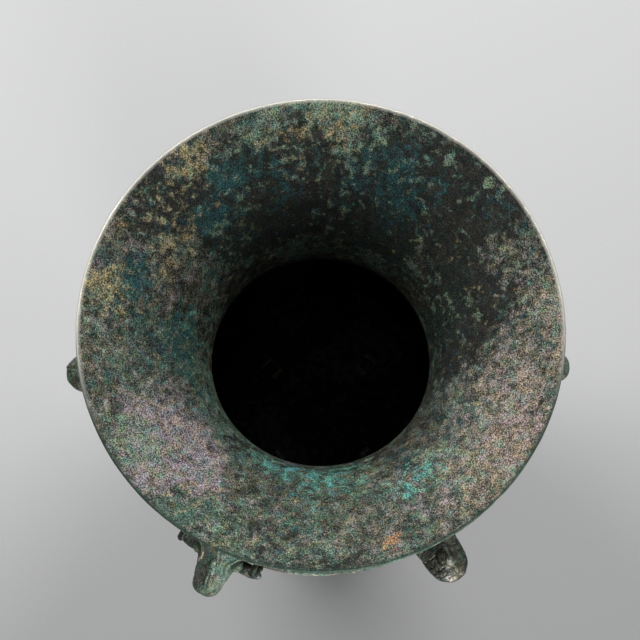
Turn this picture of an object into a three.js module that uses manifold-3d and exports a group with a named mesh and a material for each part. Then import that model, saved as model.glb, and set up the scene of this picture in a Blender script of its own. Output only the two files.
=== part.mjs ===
// Large-mouthed bronze zun, a ritual wine vessel, standing on its ring foot.
// Three rams' heads and three birds, each cast separately, ride the edge of its folded shoulder.
// Millimetres, +Z up, origin at the centre of the plane that the foot stands on.
import * as THREE from "three";
import { mergeVertices } from "three/addons/utils/BufferGeometryUtils.js";
import Module from "manifold-3d";

const wasm = await Module();
wasm.setup();

// Vessel: heights follow the overall height, radii are each their own
const HEIGHT = 480;
const NECK_HEIGHT = 0.745 * HEIGHT; // of the narrowest place of the neck
const SHOULDER_HEIGHT = 0.65 * HEIGHT; // of the folded edge
const FOOT_HEIGHT = 0.255 * HEIGHT;
const MOUTH_RADIUS = 225;
const NECK_RADIUS = 110; // outside, at the narrowest place
const NECK_ROOT_RADIUS = 121; // outside, where the neck meets the shoulder
const SHOULDER_RADIUS = 200;
const SHOULDER_RISE = 15; // from the folded edge up to the neck's root
const BASE_RADIUS = 122; // outside of the belly where it meets the foot
const FOOT_TOP_RADIUS = 113;
const FOOT_RADIUS = 130;
const FOOT_BAND = 9; // height of the plain band that the foot stands on
const WALL = 4.2;
const FOOT_WALL = 5;
const FLOOR = 5.5; // thickness of the vessel's floor
const LIP_ROUND = 1; // how far the lip's middle stands past its edges

// Bowstring ribs round the neck and the foot
const RIB_WIDTH = 5;
const RIB_RISE = 2.4;
const NECK_RIB_PITCH = 10.5;
const NECK_RIB_COUNT = 3;
const NECK_RIB_DROP = 4; // of the middle rib below the narrowest place
const FOOT_RIB_HEIGHTS = [0.69 * FOOT_HEIGHT, 0.91 * FOOT_HEIGHT];

// Hooked flanges, cast in one with the vessel below each head and bird
const FLANGE_THICKNESS = 7;
const FLANGE_REACH = 13;
const FLANGE_ROOT = 2.4; // how far a flange is rooted in the wall
const FLANGE_SLOT = 4.2; // width of the slots between a flange's hooks
const FLANGE_SLOT_DEPTH = 8.6;
const BELLY_FLANGE = { bottom: FOOT_HEIGHT + 18, top: SHOULDER_HEIGHT - 54, hooks: 5 };
const FOOT_FLANGE = { bottom: FOOT_BAND + 5, top: FOOT_RIB_HEIGHTS[0] - 8, hooks: 3 };

// Cross-shaped vents through the foot below the birds, between its ribs
const CROSS_SPAN = 22;
const CROSS_ARM = 8;
const CROSS_HEIGHT = (FOOT_RIB_HEIGHTS[0] + FOOT_RIB_HEIGHTS[1]) / 2;

// Cast rivets: each ornament's metal runs through a hole in the shoulder and spreads inside it
const RIVET_PLACE = SHOULDER_RADIUS - 22;
const RIVET_SHANK = 7; // radius
const RIVET_BUTTON = 13; // radius
const RIVET_BUTTON_THICKNESS = 5;
const HEAD_RIVET_TOP = 35; // above the folded edge, inside the crown
const BIRD_RIVET_TOP = 8; // above the folded edge, inside the plinth

// Bronze spacers that held the mould's cores apart and stayed in the wall
const SPACER_SIDE = 13;
const FLOOR_SPACERS = 4;
const FLOOR_SPACER_PLACE = 0.59 * BASE_RADIUS; // from the vessel's axis
const FOOT_SPACER_HEIGHT = CROSS_HEIGHT; // below the heads

// Ornaments, placed in from the reach and up from the folded edge
const ORNAMENT_STEP = Math.PI / 3; // heads and birds take turns round the shoulder
const ORNAMENT_REACH = SHOULDER_RADIUS + 46; // from the axis to a muzzle or a beak

// Ram's head: each station is in, up, half a width and half a height, from the crown to the muzzle
const HEAD_STATIONS = [
  [79, 27, 15, 13],
  [73, 24, 23, 22],
  [58, 16, 26.5, 26.5],
  [44, 7, 23.5, 24.5],
  [30, -3, 18.5, 20.5],
  [18, -12, 15.5, 17.5],
  [8.5, -19, 14, 14.5],
  [5.4, -22, 10, 9.4],
];
const BROW_STATIONS = [
  [52, 38, 4, 6],
  [34, 23, 6, 7],
  [12, 1, 5, 6],
];
const HEAD_ROUNDNESS = 0.85; // under one is squarer than an ellipse
const HEAD_WALL = 4.5;
const EYE = { radii: [7.5, 6, 7], place: [36, 20, 16], pitch: 0 };
const EAR = { radii: [7, 17, 4.5], place: [40, 28, -12], pitch: 0.5 };

// Ram's horn: rooted in the crown, it coils back and down beside the cheek and ends inside its own coil.
// Each point is in from the reach, out from the head's middle plane and up from the folded edge.
const HORN_PATH = [
  [39, 9.5, 10],
  [44, 12, 24],
  [55, 20, 43],
  [69, 30, 38.5],
  [76, 36, 25],
  [68, 39, 14],
  [53, 40, 10.5],
  [39, 40, 14],
  [34, 39, 23],
  [40, 38, 30],
  [48, 37.5, 29],
];
const HORN_ROOT_RADIUS = 8;
const HORN_TIP_RADIUS = 3.2;
const HORN_GROOVE = 0.92; // radius in the grooves between a horn's ridges, against the ridges'

// Bird, with its trunk from the tail to the breast
const BIRD_TRUNK = [
  [98, 52, 9, 2.2],
  [86, 46, 12, 4],
  [72, 38, 14.5, 8],
  [56, 31, 18, 13.5],
  [38, 27, 20.5, 16.5],
  [20, 27, 20, 16],
  [8, 29, 17, 12.5],
  [1.5, 30.5, 11, 7.5],
];
const BIRD_NECK = [
  [23, 30, 11, 11],
  [20, 42, 9, 9.5],
  [20, 52, 8, 8.5],
  [22, 60, 6.5, 7],
];
const BIRD_BEAK = [
  [16, 58, 5.5, 5.5],
  [7, 57, 3.6, 4],
  [2.5, 52.5, 2, 2.6],
  [1.6, 47.5, 0.9, 1],
];
const BIRD_CREST = [
  [16, 66, 1.8, 3],
  [26, 69, 1.8, 5],
  [36, 67, 1.6, 3.5],
  [43, 62, 1.2, 1.6],
];
const SKULL = { radii: [10.5, 8.5, 9], place: [19, 0, 59], pitch: 0 };
const WING = { radii: [31, 5, 11.5], place: [57, 17.5, 33], pitch: 0.35 };
const PLINTH = { radii: [27, 18, 9], place: [60, 0, 3], pitch: 0 };
const LEG = { radius: 5, inward: 50, spread: 9, bottom: -4, top: 22 };

const CLEARANCE = 0.3; // between pieces that were cast onto each other

// Facets
const SEGMENTS = 48; // round the vessel
const LOFT_SIDES = 10;
const ROOM_SIDES = 8; // of the room inside a head
const SLIM_SIDES = 6; // of the slim lofts
const PIN_SIDES = 8;
const HORN_SIDES = 6;
const HORN_STEPS = 14;
const BALL_AROUND = 8;
const BALL_DOWN = 4;
const MERGE_DISTANCE = 1e-4;

const SHOULDER_TOP = SHOULDER_HEIGHT + SHOULDER_RISE;
const FLOOR_TOP = FOOT_HEIGHT + FLOOR;

// Turning geometry into solids and back

function solid(geometry) {
  geometry.deleteAttribute("normal");
  geometry.deleteAttribute("uv");
  const merged = mergeVertices(geometry, MERGE_DISTANCE);
  return new wasm.Manifold(
    new wasm.Mesh({
      numProp: 3,
      vertProperties: merged.attributes.position.array,
      triVerts: new Uint32Array(merged.index.array),
    }),
  );
}

function geometryOf(body) {
  const { vertProperties, triVerts } = body.getMesh();
  const geometry = new THREE.BufferGeometry();
  geometry.setAttribute("position", new THREE.BufferAttribute(vertProperties, 3));
  geometry.setIndex(new THREE.BufferAttribute(triVerts, 1));
  geometry.computeVertexNormals();
  return geometry;
}

const turned = (body, angle) => body.rotate([0, 0, THREE.MathUtils.radToDeg(angle)]);
const united = (bodies) => bodies.reduce((sum, body) => sum.add(body));

// Outlines in the plane of radius and height

const at = (radius, height) => new THREE.Vector2(radius, height);

function bezier(start, first, second, end, steps) {
  return new THREE.CubicBezierCurve(start, first, second, end).getPoints(steps);
}

// The outline moved to its right-hand side by a distance, with mitred corners.
function offset(outline, distance) {
  const normals = outline.slice(1).map((point, i) => {
    const along = point.clone().sub(outline[i]).normalize();
    return at(along.y, -along.x);
  });
  return outline.map((point, i) => {
    const before = normals[Math.max(i - 1, 0)];
    const after = normals[Math.min(i, normals.length - 1)];
    const mitre = before.clone().add(after).divideScalar(1 + before.dot(after));
    return point.clone().addScaledVector(mitre, distance);
  });
}

// The point of a rising outline at a height.
function pointAt(outline, height) {
  const i = outline.findIndex((point, k) => k > 0 && point.y >= height);
  const [low, high] = [outline[i - 1], outline[i]];
  return low.clone().lerp(high, (height - low.y) / (high.y - low.y));
}

// A rising outline with a bowstring rib at each height.
function ribbed(outline, heights) {
  const half = RIB_WIDTH / 2;
  const ribs = heights.flatMap((height) => {
    const crest = pointAt(outline, height);
    crest.x += RIB_RISE;
    return [pointAt(outline, height - half), crest, pointAt(outline, height + half)];
  });
  const clear = (point) => heights.every((height) => Math.abs(point.y - height) > half);
  return [...outline.filter(clear), ...ribs].sort((a, b) => a.y - b.y);
}

function revolve(outline) {
  return solid(new THREE.LatheGeometry(outline, SEGMENTS).rotateX(Math.PI / 2));
}

// The vessel's outside, from the belly's base to the lip
const bellyOutline = bezier(
  at(BASE_RADIUS, FOOT_HEIGHT),
  at(BASE_RADIUS + 30, FOOT_HEIGHT + 22),
  at(SHOULDER_RADIUS - 8, SHOULDER_HEIGHT - 84),
  at(SHOULDER_RADIUS, SHOULDER_HEIGHT),
  5,
);
const neckOutline = bezier(
  at(NECK_ROOT_RADIUS, SHOULDER_TOP),
  at(NECK_ROOT_RADIUS - 7, SHOULDER_TOP + 2),
  at(NECK_RADIUS, SHOULDER_TOP + 9),
  at(NECK_RADIUS, NECK_HEIGHT),
  2,
);
const flareOutline = bezier(
  at(NECK_RADIUS, NECK_HEIGHT),
  at(NECK_RADIUS, NECK_HEIGHT + 62),
  at(MOUTH_RADIUS - 50, HEIGHT - WALL - 22),
  at(MOUTH_RADIUS - LIP_ROUND, HEIGHT - WALL),
  6,
);
const neckRibs = Array.from(
  { length: NECK_RIB_COUNT },
  (_, i) => NECK_HEIGHT - NECK_RIB_DROP + (i - (NECK_RIB_COUNT - 1) / 2) * NECK_RIB_PITCH,
);
const throatOutline = [...neckOutline.slice(1), ...flareOutline.slice(1)];
const smoothOutside = [...bellyOutline, neckOutline[0], ...throatOutline];
const ribbedOutside = [...bellyOutline, neckOutline[0], ...ribbed(throatOutline, neckRibs)];

const footOutline = [
  at(FOOT_RADIUS, 0),
  ...bezier(
    at(FOOT_RADIUS, FOOT_BAND),
    at(FOOT_RADIUS - 9, FOOT_HEIGHT / 3),
    at(FOOT_TOP_RADIUS, (FOOT_HEIGHT * 2) / 3),
    at(FOOT_TOP_RADIUS, FOOT_HEIGHT - FLOOR),
    3,
  ),
];

// The inside of the wall, from the floor up to the mouth, drawn in by a clearance
function insideOutline(clearance) {
  const inside = offset(smoothOutside, -WALL - clearance);
  const start = pointAt(inside, FLOOR_TOP + clearance);
  return [start, ...inside.filter((point) => point.y > start.y)];
}

function wallSection() {
  const inside = insideOutline(0).reverse();
  inside[0].y = HEIGHT;
  const footInside = offset(footOutline, -FOOT_WALL).reverse();
  footInside[0].y = FOOT_HEIGHT;
  footInside[footInside.length - 1].y = 0;
  return [
    at(0, FOOT_HEIGHT),
    ...footInside,
    ...ribbed(footOutline, FOOT_RIB_HEIGHTS),
    ...ribbedOutside,
    at(MOUTH_RADIUS, HEIGHT - WALL / 2),
    ...inside,
    at(0, FLOOR_TOP),
  ];
}

// Everything that the belly, shoulder and neck enclose, grown by a clearance, to seat ornaments on
function outerEnvelope(clearance) {
  const skin = offset(smoothOutside, clearance);
  skin[0].y = FOOT_HEIGHT;
  return revolve([at(0, FOOT_HEIGHT), ...skin, at(0, skin[skin.length - 1].y)]);
}

function innerVoid(clearance) {
  const skin = insideOutline(clearance);
  return revolve([at(0, skin[0].y), ...skin, at(0, skin[skin.length - 1].y)]);
}

const shell = revolve(wallSection());
const seat = outerEnvelope(CLEARANCE);
const roomInside = innerVoid(CLEARANCE);

// Pieces of the vessel

// A hooked flange that follows an outline between two heights, as one flat plate.
function flange(outline, { bottom, top, hooks }) {
  const pitch = (top - bottom + FLANGE_SLOT) / hooks;
  const out = (height, reach) => pointAt(offset(outline, reach), height);
  const edge = [];
  for (let i = 0; i < hooks; i++) {
    const low = bottom + i * pitch;
    const high = low + pitch - FLANGE_SLOT;
    edge.push(out(low, FLANGE_REACH), out(high, FLANGE_REACH));
    if (i < hooks - 1) {
      const slotFloor = FLANGE_REACH - FLANGE_SLOT_DEPTH;
      edge.push(out(high - FLANGE_SLOT, slotFloor), out(high, slotFloor));
    }
  }
  const root = [top, (top + bottom) / 2, bottom].map((height) => out(height, -FLANGE_ROOT));
  const plate = new THREE.ExtrudeGeometry(new THREE.Shape([...edge, ...root]), {
    depth: FLANGE_THICKNESS,
    bevelEnabled: false,
  });
  return solid(plate.rotateX(Math.PI / 2).translate(0, FLANGE_THICKNESS / 2, 0));
}

function box(size, centre) {
  return solid(new THREE.BoxGeometry(...size).translate(...centre));
}

function upright(radius, bottom, top, place) {
  const cylinder = new THREE.CylinderGeometry(radius, radius, top - bottom, PIN_SIDES);
  return solid(cylinder.rotateX(Math.PI / 2).translate(place, 0, (top + bottom) / 2));
}

function crossVent() {
  const depth = 4 * FOOT_WALL;
  const place = [FOOT_TOP_RADIUS, 0, CROSS_HEIGHT];
  const level = box([depth, CROSS_SPAN, CROSS_ARM], place);
  return level.add(box([depth, CROSS_ARM, CROSS_SPAN], place));
}

// A spacer's outline as a block that passes right through the wall, drawn in by a clearance.
function floorSpacerBlock(clearance) {
  const side = SPACER_SIDE - 2 * clearance;
  return box([side, side, 3 * FLOOR], [FLOOR_SPACER_PLACE, 0, FLOOR_TOP - FLOOR / 2]);
}

function footSpacerBlock(clearance) {
  const side = SPACER_SIDE - 2 * clearance;
  const place = pointAt(footOutline, FOOT_SPACER_HEIGHT).x - FOOT_WALL / 2;
  return box([4 * FOOT_WALL, side, side], [place, 0, FOOT_SPACER_HEIGHT]);
}

// Lofted and swept forms

function bufferOf(positions, index) {
  const geometry = new THREE.BufferGeometry();
  geometry.setAttribute("position", new THREE.Float32BufferAttribute(positions, 3));
  geometry.setIndex(index);
  return geometry;
}

// A closed skin over rings of points, each end closed with a fan about its ring's middle.
function skinned(positions, rings, sides) {
  const index = [];
  for (let i = 0; i < rings - 1; i++) {
    for (let k = 0; k < sides; k++) {
      const [a, b] = [i * sides + k, i * sides + ((k + 1) % sides)];
      index.push(a, b, b + sides, a, b + sides, a + sides);
    }
  }
  [0, rings - 1].forEach((ring) => {
    const middle = new THREE.Vector3();
    for (let k = 0; k < sides; k++) {
      middle.add(new THREE.Vector3().fromArray(positions, (ring * sides + k) * 3));
    }
    positions.push(...middle.divideScalar(sides).toArray());
    const hub = positions.length / 3 - 1;
    for (let k = 0; k < sides; k++) {
      const [a, b] = [ring * sides + k, ring * sides + ((k + 1) % sides)];
      index.push(hub, ...(ring === 0 ? [b, a] : [a, b]));
    }
  });
  return solid(bufferOf(positions, index));
}

// A skin over ovals that follow a line in the plane of X and Z.
function loft(stations, sides = SLIM_SIDES, roundness = 1) {
  const positions = [];
  const round = (value) => Math.sign(value) * Math.abs(value) ** roundness;
  const points = stations.map(([inward, rise]) => at(ORNAMENT_REACH - inward, SHOULDER_HEIGHT + rise));
  stations.forEach(([, , halfWidth, halfHeight], i) => {
    const before = points[Math.max(i - 1, 0)];
    const after = points[Math.min(i + 1, points.length - 1)];
    const along = after.clone().sub(before).normalize();
    for (let k = 0; k < sides; k++) {
      const angle = (2 * Math.PI * k) / sides;
      const rise = halfHeight * round(Math.sin(angle));
      const across = halfWidth * round(Math.cos(angle));
      positions.push(points[i].x - rise * along.y, across, points[i].y + rise * along.x);
    }
  });
  return skinned(positions, stations.length, sides);
}

// A closed tube along a path, with a radius at each of its points.
function sweep(path, radii) {
  const frames = new THREE.CatmullRomCurve3(path).computeFrenetFrames(path.length - 1);
  const positions = [];
  path.forEach((point, i) => {
    for (let k = 0; k < HORN_SIDES; k++) {
      const angle = (2 * Math.PI * k) / HORN_SIDES;
      const spoke = frames.normals[i].clone().multiplyScalar(Math.cos(angle));
      spoke.addScaledVector(frames.binormals[i], Math.sin(angle));
      positions.push(...point.clone().addScaledVector(spoke, radii[i]).toArray());
    }
  });
  return skinned(positions, path.length, HORN_SIDES);
}

function ellipsoid({ radii, place: [inward, across, rise], pitch }, side = 1) {
  const ball = new THREE.SphereGeometry(1, BALL_AROUND, BALL_DOWN).scale(...radii).rotateY(pitch);
  return solid(ball.translate(ORNAMENT_REACH - inward, side * across, SHOULDER_HEIGHT + rise));
}

// The metal that fastens an ornament: a shank through the shoulder, spread to a button inside.
function castRivet(top) {
  const buttonFloor = SHOULDER_HEIGHT - WALL - RIVET_BUTTON_THICKNESS;
  const column = upright(RIVET_BUTTON, buttonFloor, SHOULDER_TOP, RIVET_PLACE);
  const shankFloor = buttonFloor + RIVET_BUTTON_THICKNESS / 2;
  const shank = upright(RIVET_SHANK, shankFloor, SHOULDER_HEIGHT + top, RIVET_PLACE);
  return column.intersect(roomInside).add(shank);
}

// Ram's head with its horns and clay core

// Moves an end station towards its neighbour, along the line between them.
function drawEndIn(end, neighbour, distance) {
  const way = at(neighbour[0] - end[0], neighbour[1] - end[1]).setLength(distance);
  end[0] += way.x;
  end[1] += way.y;
}

// The head's skin, or the room inside it when it is drawn in by the wall or more.
function headSkin(inset) {
  const drawn = HEAD_STATIONS.map(([inward, rise, halfWidth, halfHeight]) => [
    inward,
    rise,
    halfWidth - inset,
    halfHeight - inset,
  ]);
  if (inset === 0) return loft(drawn, LOFT_SIDES, HEAD_ROUNDNESS);
  const room = drawn.slice(1, -2);
  drawEndIn(room[0], room[1], inset - HEAD_WALL);
  drawEndIn(room[room.length - 1], room[room.length - 2], inset - HEAD_WALL);
  return loft(room, ROOM_SIDES, HEAD_ROUNDNESS);
}

function horn(side, growth) {
  const points = HORN_PATH.map(
    ([inward, across, rise]) =>
      new THREE.Vector3(ORNAMENT_REACH - inward, side * across, SHOULDER_HEIGHT + rise),
  );
  const path = new THREE.CatmullRomCurve3(points).getSpacedPoints(HORN_STEPS);
  const radii = path.map((_, i) => {
    const ridge = i % 2 ? 1 : HORN_GROOVE;
    const taper = HORN_ROOT_RADIUS + ((HORN_TIP_RADIUS - HORN_ROOT_RADIUS) * i) / HORN_STEPS;
    return taper * ridge + growth;
  });
  const inwards = path[0].clone().sub(path[1]).normalize();
  path[0].addScaledVector(inwards, growth);
  return sweep(path, radii);
}

function ramParts() {
  const outside = united([
    headSkin(0),
    loft(BROW_STATIONS),
    ...[1, -1].flatMap((side) => [ellipsoid(EYE, side), ellipsoid(EAR, side)]),
  ]);
  const sockets = horn(1, CLEARANCE).add(horn(-1, CLEARANCE));
  const hollowHead = outside.subtract(headSkin(HEAD_WALL)).subtract(seat).subtract(sockets);
  const bore = upright(RIVET_SHANK + CLEARANCE, FOOT_HEIGHT, HEIGHT, RIVET_PLACE);
  const clay = headSkin(HEAD_WALL + CLEARANCE).subtract(seat).subtract(sockets).subtract(bore);
  return {
    head: hollowHead.add(castRivet(HEAD_RIVET_TOP)),
    left: horn(1, 0),
    right: horn(-1, 0),
    core: clay,
  };
}

// Bird on its plinth

function birdBody() {
  const leg = (side) =>
    upright(
      LEG.radius,
      SHOULDER_HEIGHT + LEG.bottom,
      SHOULDER_HEIGHT + LEG.top,
      ORNAMENT_REACH - LEG.inward,
    ).translate([0, side * LEG.spread, 0]);
  const outside = united([
    loft(BIRD_TRUNK, LOFT_SIDES),
    loft(BIRD_NECK),
    loft(BIRD_BEAK),
    loft(BIRD_CREST),
    ellipsoid(SKULL),
    ellipsoid(PLINTH),
    ...[1, -1].flatMap((side) => [ellipsoid(WING, side), leg(side)]),
  ]);
  return outside.subtract(seat).add(castRivet(BIRD_RIVET_TOP));
}

// The vessel, with its flanges, vents, rivet holes and spacer pockets

const ring = (count, start) => Array.from({ length: count }, (_, i) => start + (2 * Math.PI * i) / count);
const ornamentAngles = ring(6, 0);
const headAngles = ring(3, 0);
const birdAngles = ring(3, ORNAMENT_STEP);
const floorSpacerAngles = ring(FLOOR_SPACERS, Math.PI / FLOOR_SPACERS);

function vesselBody() {
  const plates = [flange(bellyOutline, BELLY_FLANGE), flange(footOutline, FOOT_FLANGE)];
  const rivetHole = upright(RIVET_SHANK + CLEARANCE, FLOOR_TOP + FLOOR, HEIGHT, RIVET_PLACE).intersect(
    box(
      [4 * RIVET_SHANK, 4 * RIVET_SHANK, 2 * SHOULDER_RISE + 4 * WALL],
      [RIVET_PLACE, 0, SHOULDER_HEIGHT],
    ),
  );
  const added = plates.flatMap((plate) => ornamentAngles.map((angle) => turned(plate, angle)));
  const cuts = [
    ...ornamentAngles.map((angle) => turned(rivetHole, angle)),
    ...birdAngles.map((angle) => turned(crossVent(), angle)),
    ...floorSpacerAngles.map((angle) => turned(floorSpacerBlock(0), angle)),
    ...headAngles.map((angle) => turned(footSpacerBlock(0), angle)),
  ];
  return shell.add(united(added)).subtract(united(cuts));
}

// Materials

const bronze = new THREE.MeshStandardMaterial({ color: 0x3d463f, roughness: 0.62, metalness: 0.35 });
const darkBronze = new THREE.MeshStandardMaterial({ color: 0x333a33, roughness: 0.6, metalness: 0.4 });
const spacerBronze = new THREE.MeshStandardMaterial({ color: 0x4f4a3a, roughness: 0.55, metalness: 0.5 });
const firedClay = new THREE.MeshStandardMaterial({ color: 0x7d5a40, roughness: 0.95, metalness: 0 });

// Assembly

const zun = new THREE.Group();
zun.name = "zun";

function put(parent, name, body, material) {
  const mesh = new THREE.Mesh(geometryOf(body), material);
  mesh.name = name;
  parent.add(mesh);
}

function groupAt(angle) {
  const group = new THREE.Group();
  group.rotation.z = angle;
  zun.add(group);
  return group;
}

put(zun, "vessel", vesselBody(), bronze);

const ram = ramParts();
headAngles.forEach((angle, i) => {
  const group = groupAt(angle);
  put(group, `ram_head_${i + 1}`, ram.head, darkBronze);
  put(group, `ram_horn_${i + 1}_left`, ram.left, darkBronze);
  put(group, `ram_horn_${i + 1}_right`, ram.right, darkBronze);
  put(group, `clay_core_${i + 1}`, ram.core, firedClay);
});

const bird = birdBody();
birdAngles.forEach((angle, i) => put(groupAt(angle), `bird_${i + 1}`, bird, darkBronze));

const floorSpacer = shell.intersect(floorSpacerBlock(CLEARANCE));
floorSpacerAngles.forEach((angle, i) =>
  put(groupAt(angle), `floor_spacer_${i + 1}`, floorSpacer, spacerBronze),
);

const footSpacer = shell.intersect(footSpacerBlock(CLEARANCE));
headAngles.forEach((angle, i) =>
  put(groupAt(angle), `foot_spacer_${i + 1}`, footSpacer, spacerBronze),
);

export default zun;
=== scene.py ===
"""Looks of a large-mouthed bronze zun, a ritual wine vessel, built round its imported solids.

Sizes in the classes are in millimetres, and a mesh is made in metres, with +Z up.
"""
import logging
import math
from dataclasses import dataclass, field
from enum import Enum
from functools import cache
from typing import Any, Iterable, Mapping, Sequence

import bmesh
import bpy
import numpy as np
from mathutils import Matrix, Vector
from mathutils.bvhtree import BVHTree


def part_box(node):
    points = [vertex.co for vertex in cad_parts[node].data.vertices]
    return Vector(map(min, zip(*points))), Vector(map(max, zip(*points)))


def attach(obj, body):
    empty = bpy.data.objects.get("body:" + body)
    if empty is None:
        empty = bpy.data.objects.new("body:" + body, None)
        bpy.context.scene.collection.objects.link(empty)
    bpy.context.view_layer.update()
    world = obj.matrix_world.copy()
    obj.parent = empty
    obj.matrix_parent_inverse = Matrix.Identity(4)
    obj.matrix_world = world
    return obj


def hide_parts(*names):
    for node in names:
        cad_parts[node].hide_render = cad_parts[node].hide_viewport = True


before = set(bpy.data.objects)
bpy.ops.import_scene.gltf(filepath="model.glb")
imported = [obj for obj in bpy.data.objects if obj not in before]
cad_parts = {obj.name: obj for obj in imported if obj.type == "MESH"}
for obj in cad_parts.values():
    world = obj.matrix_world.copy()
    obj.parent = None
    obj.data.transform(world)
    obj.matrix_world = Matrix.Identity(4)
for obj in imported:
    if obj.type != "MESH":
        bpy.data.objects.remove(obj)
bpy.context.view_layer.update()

log = logging.getLogger("zun")

Point = tuple[float, float]
Place = tuple[float, float, float]
Colour = tuple[float, float, float]
Socket = bpy.types.NodeSocket
Node = bpy.types.Node
Tree = bpy.types.NodeTree
Mesh = bpy.types.Mesh
Piece = bpy.types.Object
Material = bpy.types.Material
Shape = bmesh.types.BMesh
Casting = tuple[str, Piece]
Array = np.ndarray
Bloom = tuple[float, float, float, float]  # angle in degrees, radius, size, strength

MM = 0.001
TURN = 2 * math.pi
IN_PLACE = Matrix.Identity(4)
FIGURES = 3  # heads, birds and masks round the vessel
ORNAMENTS = 2 * FIGURES  # heads and birds take turns round the shoulder


# Node trees


class Graph:
    """A node tree that is built by plain calls."""

    def __init__(self, tree: Tree) -> None:
        """Starts from an empty tree."""
        self.tree = tree
        tree.nodes.clear()

    @classmethod
    def geometry(cls, name: str, sockets: Mapping[str, str]) -> tuple["Graph", Mapping[str, Socket]]:
        """Starts a Geometry Nodes tree.

        Args:
            name: The tree's name.
            sockets: The named inputs and their kinds, besides the geometry itself.

        Returns:
            The graph, and what its inputs give it, by their names.
        """
        graph = cls(bpy.data.node_groups.new(name, "GeometryNodeTree"))
        face = graph.tree.interface
        face.new_socket("Geometry", in_out="OUTPUT", socket_type="NodeSocketGeometry")
        for label, kind in {"Geometry": "Geometry", **sockets, "Finish": "Material"}.items():
            face.new_socket(label, in_out="INPUT", socket_type="NodeSocket" + kind)
        return graph, graph.node("NodeGroupInput").outputs

    @classmethod
    def material(cls, name: str) -> tuple[Material, "Graph", Socket]:
        """Starts a node material.

        Args:
            name: The material's name.

        Returns:
            The material, its graph, and the coordinates of each spot, in metres.
        """
        made = bpy.data.materials.new(name)
        made.use_nodes = True
        graph = cls(made.node_tree)
        return made, graph, graph.node("ShaderNodeTexCoord").outputs["Object"]

    def close(self, shape: Node, finish: Socket) -> Tree:
        """Ends a Geometry Nodes tree.

        Args:
            shape: The geometry made so far.
            finish: The material that dresses it.

        Returns:
            The finished tree.
        """
        smooth = self.node("GeometryNodeSetShadeSmooth", {"Geometry": shape})
        whole = self.node("GeometryNodeRealizeInstances", {"Geometry": smooth})
        dressed = self.node("GeometryNodeSetMaterial", {"Geometry": whole, "Material": finish})
        self.node("NodeGroupOutput", {"Geometry": dressed})
        return self.tree

    def node(self, kind: str, inputs: Mapping[Any, Any] | None = None, **settings: Any) -> Node:
        """Adds a node.

        Args:
            kind: The node's type.
            inputs: Sockets or nodes to link from, or values to set, by input name or number.
            settings: The node's own properties.

        Returns:
            The new node.
        """
        made = self.tree.nodes.new(kind)
        for key, value in settings.items():
            setattr(made, key, value)
        for key, value in (inputs or {}).items():
            value = value.outputs[0] if isinstance(value, Node) else value
            if isinstance(value, Socket):
                self.tree.links.new(value, made.inputs[key])
            else:
                made.inputs[key].default_value = value
        return made

    def math(self, operation: str, *values: Socket | float) -> Socket:
        """Adds a Math node on the values and returns its result."""
        return self.node("ShaderNodeMath", dict(enumerate(values)), operation=operation).outputs[0]

    def vector(self, operation: str, *values: Any) -> Node:
        """Adds a Vector Math node on the values."""
        return self.node("ShaderNodeVectorMath", dict(enumerate(values)), operation=operation)

    def span(self, value: Socket | float, low: float, high: float, start: float = 0.0,
             end: float = 1.0) -> Socket:
        """Eases a value from start to end while it goes from low to high."""
        inputs = {"Value": value, "From Min": low, "From Max": high, "To Min": start, "To Max": end}
        return self.node("ShaderNodeMapRange", inputs, interpolation_type="SMOOTHSTEP").outputs[0]

    def mix(self, share: Socket | float, under: Any, over: Any) -> Socket:
        """Lays one colour over another by a share."""
        under, over = (value if isinstance(value, Socket) else (*value, 1) for value in (under, over))
        return self.node("ShaderNodeMix", {0: share, 6: under, 7: over}, data_type="RGBA").outputs[2]

    def noise(self, place: Socket, size: float, detail: float = 2.0, shift: float = 0.0,
              rough: float = 0.5) -> Socket:
        """Adds a noise with lumps of a size in millimetres; noises differ by their shifts."""
        inputs = {"Vector": place, "W": shift, "Scale": 1 / (size * MM), "Detail": detail, "Roughness": rough}
        return self.node("ShaderNodeTexNoise", inputs, noise_dimensions="4D").outputs[0]

    def attribute(self, name: str, kind: str = "FLOAT") -> Socket:
        """Reads what each point of a mesh carries under a name, for its shape."""
        return self.node("GeometryNodeInputNamedAttribute", {"Name": name}, data_type=kind).outputs[0]

    def painted(self, name: str) -> Socket:
        """Reads a number that each point of a mesh carries, for its finish."""
        return self.node("ShaderNodeAttribute", attribute_name=name).outputs["Fac"]


# Meshes and pieces


def linked(name: str, data: bpy.types.ID) -> Piece:
    """Puts a mesh, a lamp or a camera into the scene.

    Args:
        name: The piece's name.
        data: What it is made from.

    Returns:
        The piece.
    """
    piece = bpy.data.objects.new(name, data)
    bpy.context.scene.collection.objects.link(piece)
    return piece


def loosened(piece: Piece) -> Mesh:
    """Takes a piece out of the scene.

    Args:
        piece: The piece.

    Returns:
        Its mesh.
    """
    mesh = piece.data
    bpy.data.objects.remove(piece)
    return mesh


def grown(name: str, base: Mesh, tree: Tree, sizes: Mapping[str, Any]) -> Piece:
    """Runs a Geometry Nodes tree on a mesh and keeps the result as a plain mesh.

    Args:
        name: The piece's name.
        base: The mesh that the tree starts from.
        tree: The tree.
        sizes: A value for each of the tree's named inputs.

    Returns:
        The piece, with no modifier left on it.
    """
    piece = linked(name, base)
    modifier = piece.modifiers.new("shape", "NODES")
    modifier.node_group = tree
    keys = {item.name: item.identifier for item in tree.interface.items_tree if item.in_out == "INPUT"}
    for label, value in sizes.items():
        modifier[keys[label]] = value
    settle(piece)
    return piece


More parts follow.
